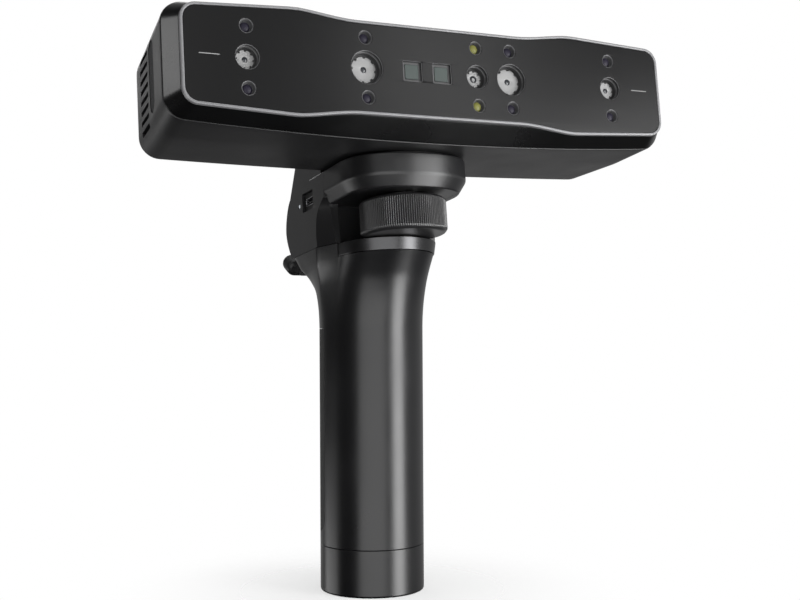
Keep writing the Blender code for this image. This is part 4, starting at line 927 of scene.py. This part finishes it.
def platform_ring(level, inset, steps=72):
    """The platform's outline: a superellipse in front that runs straight back into the cheeks."""
    half = CHEEK_X - 0.02 * MM - inset
    points = []
    for i in range(steps + 1):
        turn = math.pi * i / steps
        x = signed_power(math.cos(turn), 2 / PLATFORM_POWER)
        y = max(math.sin(turn), 0.0) ** (2 / PLATFORM_POWER)
        points.append(Vector((half * x, 40.7 * MM - (22.3 * MM - inset) * y, level)))
    points.append(Vector((-half, 70.0 * MM, level)))
    points.append(Vector((half, 70.0 * MM, level)))
    return points


def cheek_corner(side):
    """What is taken off one cheek's front corner, from its curved crease to the notch's flat edge."""
    crease = millimetres(
        (130.0, -8.6), (137.0, -6.7), (143.0, -5.0), (149.0, -4.6), (152.0, -5.2), (154.5, -6.5), (157.0, -9.0),
        (159.5, -12.6), (162.0, -17.5),
    )
    rings = []
    for height, y in curved(crease, 4):
        front = mix(-16.1 * MM, -12.6 * MM, min((height - 138 * MM) / (17.5 * MM), 1.0))
        edge = mix(21.8 * MM, 23.3 * MM, (height - 138 * MM) / (20 * MM))
        slope = (y - front) / (CHEEK_X - edge)
        inner = edge - 1.5 * MM
        outer = CHEEK_X + MM
        ahead = -40.7 * MM
        near = [(outer, y + slope * MM), (edge, front), (inner, front - max(slope, 0.2) * 1.5 * MM)]
        near += [(inner, ahead), (outer, ahead)]
        rings.append([Vector((side * x, depth, height)) for x, depth in near])
    return loft("corner_cut", rings)


class SCANNER_OT_cradle(bpy.types.Operator):
    """Models the cradle: cheeks, upright and platform in one casting, open in front for the knob"""

    bl_idname = "scanner.cradle"
    bl_label = "Cradle"

    def execute(self, context):
        rear = millimetres(
            (22.4, 162.6), (25.4, 160.4), (27.4, 157.2), (28.7, 153.5), (29.3, 150.0), (29.0, 146.4), (27.3, 142.6),
            (24.9, 139.2),
        )
        side = millimetres((-16.05, 138.0), (-12.54, 155.5), (-12.54, 169.5)) + curved(rear)
        side += millimetres((20.0, 134.0))
        cradle = plate("cradle_body", [side], -CHEEK_X, CHEEK_X, turn=SIDEWAYS)
        for way in (-1, 1):
            join_shape(cradle, cheek_corner(way))
        levels = ((-37.9, 3.6), (-37.86, 3.3), (-37.72, 3.02), (-37.5, 2.78), (-37.25, 2.6), (-33.9, 0.46))
        levels += ((-33.5, 0.24), (-33.1, 0.09), (-32.7, 0.02), (-32.3, 0.0), (-25.7, 0.0), (-25.45, 0.04))
        levels += ((-25.25, 0.13), (-25.14, 0.28), (-25.1, 0.5))
        platform = loft("platform", [platform_ring(level * MM, inset * MM) for level, inset in levels])
        settle(platform, HEAD)
        join_shape(cradle, platform, "UNION")
        lean = math.tan(CLAMP_LEAN)
        upright = millimetres(
            (1.5, 160.0), (-4.7, 168.0), (-4.4, 173.0), (1.5, 183.0), (4.5, 186.0), (25.0 - 13.5 * lean, 186.0),
            (25.0 + 12.5 * lean, 160.0), (24.0, 157.0), (4.5, 157.0),
        )
        join_shape(cradle, plate("upright", [upright], -24 * MM, 24 * MM, turn=SIDEWAYS), "UNION")
        join_shape(cradle, block("below_seam", (-52, 0, -188), (52, 134, -53.8), HEAD))
        join_shape(cradle, block("notch", (-20, 0, -55), (20, 60.6, -37.85), HEAD))
        bore = plate("bore", [circle(0.0, CLAMP_Y, 3.5 * MM)], -54 * MM, -24 * MM, turn=HEAD)
        join_shape(cradle, bore)
        pocket = plate("pocket", [rounded(-5.8 * MM, -3.9 * MM, 5.8 * MM, 3.9 * MM, 0.9 * MM)], -MM, 8.6 * MM)
        settle(pocket, PORT @ SIDEWAYS)
        join_shape(cradle, pocket)
        lamp = circle(13.9 * MM, 157.7 * MM, 1.1 * MM)
        hole = plate("light_pocket", [lamp], -CHEEK_X - MM, 2 * MM - CHEEK_X, turn=SIDEWAYS)
        join_shape(cradle, hole)
        soften(cradle, 0.35 * MM, 3, 18)
        done(cradle, "cradle", "scanner", "cradle_black", "cradle", angle=18)
        return {"FINISHED"}


PORT = Matrix.Translation((-CHEEK_X, 4.5 * MM, 159.2 * MM)) @ Matrix.Rotation(-HEAD_LEAN, 4, "X")


class SCANNER_OT_head_pad(bpy.types.Operator):
    """Models the rubber pad between the head and the platform"""

    bl_idname = "scanner.head_pad"
    bl_label = "Head pad"

    def execute(self, context):
        outline = []
        for i in range(96):
            turn = math.tau * i / 96
            x = 19 * MM * signed_power(math.cos(turn), 2 / PLATFORM_POWER)
            y = 19 * MM * signed_power(math.sin(turn), 2 / PLATFORM_POWER)
            outline.append((x, CLAMP_Y + y))
        hole = circle(0.0, CLAMP_Y, 3.5 * MM)
        pad = plate("head_pad", [outline, hole], -24.9 * MM, -24.35 * MM, edge=0.12 * MM, turn=HEAD)
        done(pad, "rubber", "scanner", "pad_rubber", "rubber_pad")
        return {"FINISHED"}


def port_shell(name, half, tall, corner, wall, tongue, depth):
    """A data socket looking along -Z: a pressed steel mouth and a tongue with its contacts in it."""
    outer = rounded(-half, -tall, half, tall, corner)
    inner = rounded(-half + wall, -tall + wall, half - wall, tall - wall, corner - wall)
    shell = plate(name, [outer, inner], 0.0, depth, edge=0.08 * MM)
    back = plate("back", [rounded(-half + wall / 2, -tall + wall / 2, half - wall / 2, tall - wall / 2, corner - wall / 2)],
                 depth - 1.2 * MM, depth)
    join_shape(shell, back, "UNION")
    blade = plate(name + "_tongue", [rounded(-tongue, -0.35 * MM, tongue, 0.35 * MM, 0.1 * MM)], 0.9 * MM, depth - MM,
                  edge=0.04 * MM)
    return shell, blade


class SCANNER_OT_sockets(bpy.types.Operator):
    """Models the data sockets in the cradle's cheek and in the head's rear, and the status light"""

    bl_idname = "scanner.sockets"
    bl_label = "Sockets and light"

    def execute(self, context):
        turn = PORT @ SIDEWAYS @ Matrix.Translation((0.0, 0.0, 0.4 * MM))
        frame_piece = plate(
            "cheek_socket_frame",
            [
                rounded(-5.6 * MM, -3.7 * MM, 5.6 * MM, 3.7 * MM, 0.7 * MM),
                rounded(-4.4 * MM, -1.7 * MM, 4.4 * MM, 1.7 * MM, 1.0 * MM),
            ],
            0.8 * MM,
            8.0 * MM,
            edge=0.1 * MM,
            turn=turn,
        )
        done(frame_piece, "dark", "scanner", "port_black", "grip_socket")
        shell, blade = port_shell("cheek_socket", 4.3 * MM, 1.6 * MM, 0.9 * MM, 0.3 * MM, 3.3 * MM, 7.0 * MM)
        settle(shell, turn @ Matrix.Translation((0.0, 0.0, 0.6 * MM)))
        settle(blade, turn @ Matrix.Translation((0.0, 0.0, 0.6 * MM)))
        done(shell, "steel", "scanner", "port_black")
        done(blade, "dark", "scanner", "port_black")
        shell, blade = port_shell("head_port", 4.5 * MM, 1.6 * MM, 1.5 * MM, 0.35 * MM, 3.3 * MM, 7.0 * MM)
        spot = HEAD @ Matrix.Translation((PORT_X, REAR_Y - 0.2 * MM, REAR_Z)) @ FORWARDS
        settle(shell, spot)
        settle(blade, spot)
        done(shell, "steel", "scanner", "socket_steel", "head_socket")
        done(blade, "dark", "scanner", "port_black")
        dome = [(0.0, 0.05 * MM), (0.4 * MM, 0.08 * MM), (0.75 * MM, 0.2 * MM), (0.95 * MM, 0.45 * MM)]
        dome += [(0.98 * MM, 1.8 * MM), (0.0, 1.8 * MM)]
        light = spun("status_lens", dome, 32)
        settle(light, Matrix.Translation((-CHEEK_X, 13.9 * MM, 157.7 * MM)) @ Matrix.Rotation(math.radians(90), 4, "Y"))
        done(light, "clear", "scanner", "light_clear", "status_light")
        return {"FINISHED"}


class SCANNER_OT_scan_button(bpy.types.Operator):
    """Models the dished scan button in the head's rear"""

    bl_idname = "scanner.scan_button"
    bl_label = "Scan button"

    def execute(self, context):
        profile = millimetres(
            (0.0, 0.32), (2.0, 0.36), (3.6, 0.5), (4.6, 0.68), (5.2, 0.78), (5.55, 0.8), (5.85, 0.68), (6.0, 0.4),
            (6.0, -2.2), (7.1, -2.2), (7.2, -2.3), (7.2, -3.4), (0.0, -3.4),
        )
        button = spun("scan_button_cap", profile, 72)
        settle(button, HEAD @ Matrix.Translation((BUTTON_X, REAR_Y, REAR_Z)) @ BACKWARDS)
        done(button, "button", "button", "button_grey", "scan_button")
        return {"FINISHED"}


# the grip
def tilted(y, level):
    """World height, at world depth y, of the head's plane at this level."""
    lean = math.radians(7.04)
    return 201.29 * MM + (level - (y + 63.85 * MM) * math.sin(lean)) / math.cos(lean)


def body_edge(radius):
    """The outline where the grip meets the cradle: the collar's arc in front, flat sides, a blunt rear."""
    lean = math.radians(7.04)
    centre = -63.85 * MM + COLLAR_Y * math.cos(lean) + COLLAR_TOP * math.sin(lean)
    last = math.acos((centre + 15.8 * MM) / (21.55 * MM))
    half = [(radius * math.sin(last * i / 24), centre - radius * math.cos(last * i / 24)) for i in range(25)]
    half += millimetres((26.1, -5.0), (26.1, 18.5), (25.6, 20.6), (24.2, 22.2), (22.0, 23.1), (0.0, 24.0))
    return half + [(-x, y) for x, y in half[-2:0:-1]]


def reach_to(outline, turn):
    """How far a ray from the body's middle runs to the outline."""
    middle = -7.0 * MM
    ahead = Vector((math.sin(turn), -math.cos(turn)))
    best = 0.0
    for (x0, y0), (x1, y1) in zip(outline, outline[1:] + outline[:1]):
        start = Vector((x0, y0 - middle))
        edge = Vector((x1 - x0, y1 - y0))
        cross = ahead.x * edge.y - ahead.y * edge.x
        if abs(cross) < TINY * TINY:
            continue
        share = (start.x * ahead.y - start.y * ahead.x) / cross
        if -TINY <= share <= 1 + TINY:
            best = max(best, (start.x * edge.y - start.y * edge.x) / cross)
    return best


def grip_rings(steps=144):
    """The grip's outlines from its cap's seam up to the collar."""
    radius = grip_settings().radius
    turns = [math.tau * i / steps for i in range(steps)]
    wide = [reach_to(body_edge(21.55 * MM), turn) for turn in turns]
    narrow = [reach_to(body_edge(20.56 * MM), turn) for turn in turns]

    def ring(height, front, rear, reaches):
        lean = min(max((height - 108 * MM) / (26.9 * MM), 0.0), 1.0) * math.tan(math.radians(7.04))
        points = []
        for turn, reach in zip(turns, reaches):
            share = mix(rear, front, ease((1 + math.cos(turn)) / 2))
            x = mix(radius * math.sin(turn), reach * math.sin(turn), share)
            y = mix(-radius * math.cos(turn), -7.0 * MM - reach * math.cos(turn), share)
            points.append(Vector((x, y, height - (y + 7 * MM) * lean)))
        return points

    seam = grip_settings().seam
    rings = [ring(seam + 0.1 * MM, 0.0, 0.0, wide), ring(60 * MM, 0.0, 0.0, wide), ring(100 * MM, 0.0, 0.0, wide)]
    flare = ((108, 0, 0), (112, 0.03, 0.025), (116, 0.1, 0.075), (120, 0.21, 0.155), (124, 0.36, 0.25))
    flare += ((127, 0.5, 0.35), (130, 0.68, 0.48), (132.5, 0.84, 0.62))
    for height, front, rear in curved(flare, 4):
        rings.append(ring(height * MM, front, rear, narrow))
    lower = ring(0.0, 1.0, 0.78, narrow)
    upper = ring(0.0, 1.0, 1.0, wide)
    rings.append([Vector((point.x, point.y, tilted(point.y, COLLAR_BOTTOM))) for point in lower])
    rings.append([Vector((point.x, point.y, tilted(point.y, COLLAR_TOP))) for point in upper])
    return rings


def inlay_side(grow):
    """The rear inlay's side, (y, z), with a round lower corner in front."""
    front, low, high = -0.7 * MM - grow, 24.4 * MM - grow, 107.0 * MM + grow
    corner = 7.0 * MM + grow
    found = [(24 * MM, low), (24 * MM, high), (front, high)]
    for i in range(13):
        turn = math.pi + i / 12 * math.pi / 2
        found.append((front + corner + corner * math.cos(turn), low + corner + corner * math.sin(turn)))
    return found


def inlay_shape(name, low, high, grow):
    """The part of a tube that lies within the inlay's side outline."""
    tube = spun(name, [(low, 0.0), (high, 0.0), (high, 0.2), (low, 0.2)], 128, closed=True)
    join_shape(tube, plate("inlay_side", [inlay_side(grow)], -0.03, 0.03, turn=SIDEWAYS), "INTERSECT")
    return tube


class SCANNER_OT_grip(bpy.types.Operator):
    """Models the grip's shell with its flare, the rear inlay and the base cap with its threaded insert"""

    bl_idname = "scanner.grip"
    bl_label = "Grip"

    def execute(self, context):
        radius = grip_settings().radius
        seam = grip_settings().seam
        shell = loft("grip_shell", grip_rings())
        bore = plate("bore", [circle(0.0, 0.0, radius - 2.2 * MM, 96)], 18 * MM, 117 * MM)
        join_shape(shell, bore)
        profile = [(0.0, COLLAR_BOTTOM), (20.8 * MM, COLLAR_BOTTOM), (21.7 * MM, COLLAR_TOP)]
        profile += [(21.9 * MM, -50.9 * MM), (0.0, -50.9 * MM)]
        pocket = settle(spun("pocket", profile, 128), HEAD @ Matrix.Translation((0.0, COLLAR_Y, 0.0)))
        join_shape(shell, pocket)
        join_shape(shell, inlay_shape("recess", radius - 1.05 * MM, radius + MM, 0.15 * MM))
        soften(shell, 0.18 * MM, 2, 40)
        done(shell, "grip", "scanner", "grip_black", "handle_shell", angle=32)
        inlay = inlay_shape("grip_inlay", radius - 0.9 * MM, radius, 0.0)
        soften(inlay, 0.2 * MM, 3, 40)
        done(inlay, "inlay", "scanner", "inlay_black", "rear_inlay", angle=32)
        edge = 1.1 * MM
        profile = [(0.0, 10.2 * MM), (6.2 * MM, 10.2 * MM), (6.2 * MM, 0.4 * MM), (6.6 * MM, 0.0)]
        profile += [(12.0 * MM, 0.0), (12.2 * MM, 0.25 * MM), (18.3 * MM, 0.25 * MM), (18.5 * MM, 0.0)]
        for i in range(7):
            turn = -math.pi / 2 + math.pi / 2 * i / 6
            profile.append((radius - edge + edge * math.cos(turn), edge + edge * math.sin(turn)))
        top = seam - 0.1 * MM
        profile += [(radius, top - 0.25 * MM), (radius - 0.25 * MM, top), (18.9 * MM, top), (18.9 * MM, 25 * MM)]
        profile.append((0.0, 25 * MM))
        cap = spun("grip_cap", profile, 144)
        done(cap, "grip", "scanner", "cap_black", "base_cap")
        profile = [(6.0 * MM, 9.9 * MM), (6.0 * MM, 0.5 * MM), (5.7 * MM, 0.2 * MM), (3.9 * MM, 0.2 * MM)]
        for i in range(14):
            profile.append(((3.3 if i % 2 else 2.75) * MM, (0.8 + 0.635 * i) * MM))
        profile += [(2.7 * MM, 9.3 * MM), (0.0, 9.3 * MM), (0.0, 9.9 * MM)]
        insert = spun("threaded_insert", profile, 48, closed=True)
        done(insert, "brass", "scanner", "insert_brass", "tripod_insert")
        return {"FINISHED"}


# the phone clamp
def jaw_bar(name, low, high, front):
    """A clamp jaw: a bar with rounded ends and full, round edges."""
    outline = rounded(-19.4 * MM, low, 19.4 * MM, high, 3.75 * MM, 10)
    return plate(name, [outline], -10.1 * MM, -front, edge=2.0 * MM, turn=FORWARDS, fine=6)


class SCANNER_OT_phone_clamp(bpy.types.Operator):
    """Models the phone clamp: its back with the fixed lower jaw, the sliding upper jaw and their rubber pads"""

    bl_idname = "scanner.phone_clamp"
    bl_label = "Phone clamp"

    def execute(self, context):
        front, face = 0.2 * MM, 4.4 * MM
        back = plate("clamp_plate", [rounded(-14 * MM, front, 14 * MM, face, 1.2 * MM)], -46.8 * MM, 20 * MM)
        seat = plate("seat", [rounded(-12 * MM, -36.6 * MM, 12 * MM, 16.6 * MM, 2 * MM)], -5.0 * MM, -3.4 * MM, edge=0.3 * MM,
                     turn=FORWARDS)
        join_shape(back, seat, "UNION")
        join_shape(back, jaw_bar("jaw", -47.8 * MM, -40.2 * MM, 1.2 * MM), "UNION")
        join_shape(back, block("channel", (-7.25, 0.85, -24.25), (7.25, 3.75, 21)))
        settle(back, CLAMP)
        soften(back, 0.2 * MM, 2, 40)
        done(back, "shell", "scanner", "clamp_black", "clamp_back", angle=32)
        jaw = jaw_bar("sliding_jaw", 20.2 * MM, 27.8 * MM, front)
        join_shape(jaw, block("stem", (-7, 1.1, -24), (7, 3.5, 24)), "UNION")
        settle(jaw, CLAMP)
        done(jaw, "shell", "jaw", "clamp_black", "upper_jaw", angle=32)
        for name, floor, body, node in (
            ("lower_jaw_rubber", -40.0 * MM, "scanner", "lower_jaw_pad"),
            ("sliding_jaw_rubber", 18.6 * MM, "jaw", "upper_jaw_pad"),
        ):
            outline = rounded(-13 * MM, 4.2 * MM, 13 * MM, 8.0 * MM, 0.6 * MM)
            pad = plate(name, [outline], floor, floor + 1.4 * MM, edge=0.25 * MM, turn=CLAMP)
            done(pad, "rubber", body, "pad_rubber", node)
        return {"FINISHED"}


# stage
def area_light(name, place, aim, size, strength, roll=0.0):
    """A soft box: strength is its surface's brightness, where a white screen is 1."""
    width, height = size
    light = bpy.data.lights.new(name, "AREA")
    light.shape = "RECTANGLE"
    light.size = width
    light.size_y = height
    light.energy = strength * width * height * math.pi
    obj = bpy.data.objects.new(name, light)
    bpy.context.scene.collection.objects.link(obj)
    obj.location = place
    obj.rotation_mode = "QUATERNION"
    facing = (Vector(aim) - Vector(place)).to_track_quat("-Z", "Y")
    obj.rotation_quaternion = facing @ Quaternion((0.0, 0.0, 1.0), math.radians(roll))
    return obj


CAMERA_AZIMUTH = math.radians(-25.467)
CAMERA_PITCH = math.radians(0.5)
CAMERA_ROLL = math.radians(-0.314)
CAMERA_PLACE = Vector((-0.2180, -0.4797, 0.1108))
FOCAL = 1273.96
FRAME_WIDTH = 800
FRAME_HEIGHT = 600
CENTRE = (393.76, 308.14)


def round_place(turn, distance, height):
    """A point round the grip, turned to the right of the camera by this many degrees."""
    angle = CAMERA_AZIMUTH + math.radians(turn)
    return Vector((math.sin(angle) * distance, -math.cos(angle) * distance, height))


class SCANNER_OT_stage(bpy.types.Operator):
    """Sets the floor, the soft boxes, the world and the photograph's camera"""

    bl_idname = "scanner.stage"
    bl_label = "Stage"

    def execute(self, context):
        self.camera()
        self.world()
        self.floor()
        self.studio_walls()
        aim = (0.0, -0.02, 0.11)
        area_light("right_strip", round_place(62, 0.75, -0.045), (0.0, 0.0, 0.03), (0.34, 0.99), 10.0, roll=6)
        area_light("panel_spot", (0.453, -0.87, 0.614), (-0.005, -0.063, 0.207), (0.17, 0.17), 7.0)
        area_light("front_box", round_place(3, 1.05, -0.1), aim, (1.2, 1.1), 2.3)
        area_light("left_box", (-0.236, -0.016, 0.244), (-0.1, -0.06, 0.2), (0.07, 0.07), 3.6)
        area_light("left_low", round_place(-102, 0.8, -0.22), (0.0, 0.0, 0.02), (0.62, 0.28), 2.2)
        area_light("brow_box", (0.047, -0.95, 0.6), (0.0, -0.06, 0.15), (0.22, 0.22), 2.0)
        area_light("rear_box", (0.08, 0.92, 0.54), (-0.025, 0.0, 0.16), (0.4, 0.4), 3.0)
        area_light("rear_low", (0.66, 0.88, -0.29), (0.03, 0.0, 0.17), (0.5, 0.5), 0.2)
        area_light("top_box", (0.0, -0.1, 0.95), (0.0, 0.0, 0.0), (0.9, 0.9), 1.6)
        context.scene.view_settings.view_transform = "Standard"
        return {"FINISHED"}

    @staticmethod
    def camera():
        data = bpy.data.cameras.new("photo_camera")
        data.sensor_width = 36.0
        data.lens = FOCAL / FRAME_WIDTH * data.sensor_width
        data.shift_x = (FRAME_WIDTH / 2 - CENTRE[0]) / FRAME_WIDTH
        data.shift_y = (CENTRE[1] - FRAME_HEIGHT / 2) / FRAME_WIDTH
        data.clip_start = 0.01
        data.clip_end = 20.0
        camera = bpy.data.objects.new("photo_camera", data)
        bpy.context.scene.collection.objects.link(camera)
        ahead = Vector(
            (
                -math.sin(CAMERA_AZIMUTH) * math.cos(CAMERA_PITCH),
                math.cos(CAMERA_AZIMUTH) * math.cos(CAMERA_PITCH),
                math.sin(CAMERA_PITCH),
            )
        )
        right = Vector((math.cos(CAMERA_AZIMUTH), math.sin(CAMERA_AZIMUTH), 0.0))
        up = right.cross(ahead)
        across = right * math.cos(CAMERA_ROLL) + up * math.sin(CAMERA_ROLL)
        upwards = up * math.cos(CAMERA_ROLL) - right * math.sin(CAMERA_ROLL)
        turn = Matrix((across, upwards, -ahead)).transposed().to_4x4()
        camera.matrix_world = Matrix.Translation(CAMERA_PLACE) @ turn
        bpy.context.scene.camera = camera

    @staticmethod
    def world():
        """White where it is seen or mirrored, and a low even fill otherwise."""
        world = bpy.data.worlds.new("studio")
        bpy.context.scene.world = world
        world.use_nodes = True
        nodes, links = world.node_tree.nodes, world.node_tree.links
        back = nodes["Background"]
        back.inputs["Color"].default_value = (1.0, 1.0, 1.0, 1.0)
        path = nodes.new("ShaderNodeLightPath")
        seen = nodes.new("ShaderNodeMath")
        seen.operation = "MAXIMUM"
        links.new(path.outputs["Is Camera Ray"], seen.inputs[0])
        links.new(path.outputs["Is Glossy Ray"], seen.inputs[1])
        through = nodes.new("ShaderNodeMath")
        through.operation = "MAXIMUM"
        links.new(seen.outputs["Value"], through.inputs[0])
        links.new(path.outputs["Is Transmission Ray"], through.inputs[1])
        level = nodes.new("ShaderNodeMapRange")
        level.inputs["To Min"].default_value = stage_settings().fill
        level.inputs["To Max"].default_value = 1.0
        links.new(through.outputs["Value"], level.inputs["Value"])
        links.new(level.outputs["Result"], back.inputs["Strength"])

    @staticmethod
    def studio_walls():
        """Grey walls round the stage, darker in front and below, seen only in the gloss of the pieces."""
        pick()
        bpy.ops.mesh.primitive_uv_sphere_add(segments=48, ring_count=24, radius=3.0, location=(0.0, 0.0, 0.0))
        walls = named("studio_walls")
        look, tree, shader = new_look("studio_grey")
        tree.nodes.remove(shader)
        place = add(tree, "TexCoord", "Object", {})
        rear = add(tree, "VectorMath", "Value", {0: place, 1: (0.766, 0.643, 0.0)}, operation="DOT_PRODUCT")
        level = spread(tree, rear, (0.0, 1.8), (0.04, 0.4), "SMOOTHSTEP")
        height = add(tree, "SeparateXYZ", "Z", {"Vector": place})
        low = spread(tree, height, (-1.6, -0.2), (0.08, 1.0), "SMOOTHSTEP")
        strength = add(tree, "Math", "Value", {0: level, 1: low}, operation="MULTIPLY")
        glow = add(tree, "Emission", "Emission", {"Strength": strength})
        fill_in(tree, tree.nodes["Material Output"], {"Surface": glow})
        walls.data.materials.append(look)
        walls.visible_camera = False
        walls.visible_diffuse = False
        walls.visible_transmission = False
        walls.visible_shadow = False

    @staticmethod
    def floor():
        """A pale floor under the grip that fades into the background."""
        pick()
        bpy.ops.mesh.primitive_circle_add(vertices=96, radius=0.32, fill_type="NGON", location=(0.0, 0.0, 0.0))
        floor = named("floor")
        look, tree, shader = new_look("floor_pale")
        place = add(tree, "TexCoord", "Object", {})
        far = add(tree, "VectorMath", "Value", {0: place}, operation="LENGTH")
        fade = spread(tree, far, (0.02, 0.11), (0.4, 0.0), "SMOOTHSTEP")
        colour = (*stage_settings().floor, 1.0)
        inputs = {"Base Color": colour, "Roughness": 0.9, "Specular IOR Level": 0.0, "Alpha": fade}
        fill_in(tree, shader, inputs)
        floor.data.materials.append(look)
        floor.visible_glossy = False


class SCANNER_PT_panel(bpy.types.Panel):
    bl_label = "Three-d scanner"
    bl_idname = "SCANNER_PT_panel"
    bl_space_type = "VIEW_3D"
    bl_region_type = "UI"
    bl_category = "Scanner"

    def draw(self, context):
        for settings in (head_settings(), grip_settings(), clamp_settings(), stage_settings()):
            box = self.layout.box()
            for key in settings.__annotations__:
                box.prop(settings, key)
        for operator in OPERATORS:
            self.layout.operator(operator.bl_idname)


OPERATORS = (
    SCANNER_OT_dress_solids,
    SCANNER_OT_head_rim,
    SCANNER_OT_head_bezel,
    SCANNER_OT_head_housing,
    SCANNER_OT_face_panel,
    SCANNER_OT_cameras,
    SCANNER_OT_lamps,
    SCANNER_OT_projector,
    SCANNER_OT_knob,
    SCANNER_OT_collar,
    SCANNER_OT_cradle,
    SCANNER_OT_head_pad,
    SCANNER_OT_sockets,
    SCANNER_OT_scan_button,
    SCANNER_OT_grip,
    SCANNER_OT_phone_clamp,
    SCANNER_OT_stage,
)
GROUPS = (
    ("scanner_head", HeadSettings),
    ("scanner_grip", GripSettings),
    ("scanner_clamp", ClampSettings),
    ("scanner_stage", StageSettings),
)


def register():
    for name, group in GROUPS:
        bpy.utils.register_class(group)
        setattr(bpy.types.Scene, name, bpy.props.PointerProperty(type=group))
    for operator in OPERATORS:
        bpy.utils.register_class(operator)
    bpy.utils.register_class(SCANNER_PT_panel)


def unregister():
    bpy.utils.unregister_class(SCANNER_PT_panel)
    for operator in reversed(OPERATORS):
        bpy.utils.unregister_class(operator)
    for name, group in reversed(GROUPS):
        delattr(bpy.types.Scene, name)
        bpy.utils.unregister_class(group)


def main():
    register()
    for operator in OPERATORS:
        group, name = operator.bl_idname.split(".")
        getattr(getattr(bpy.ops, group), name)()
    pick()
    bpy.context.view_layer.update()


if __name__ == "__main__":
    main()
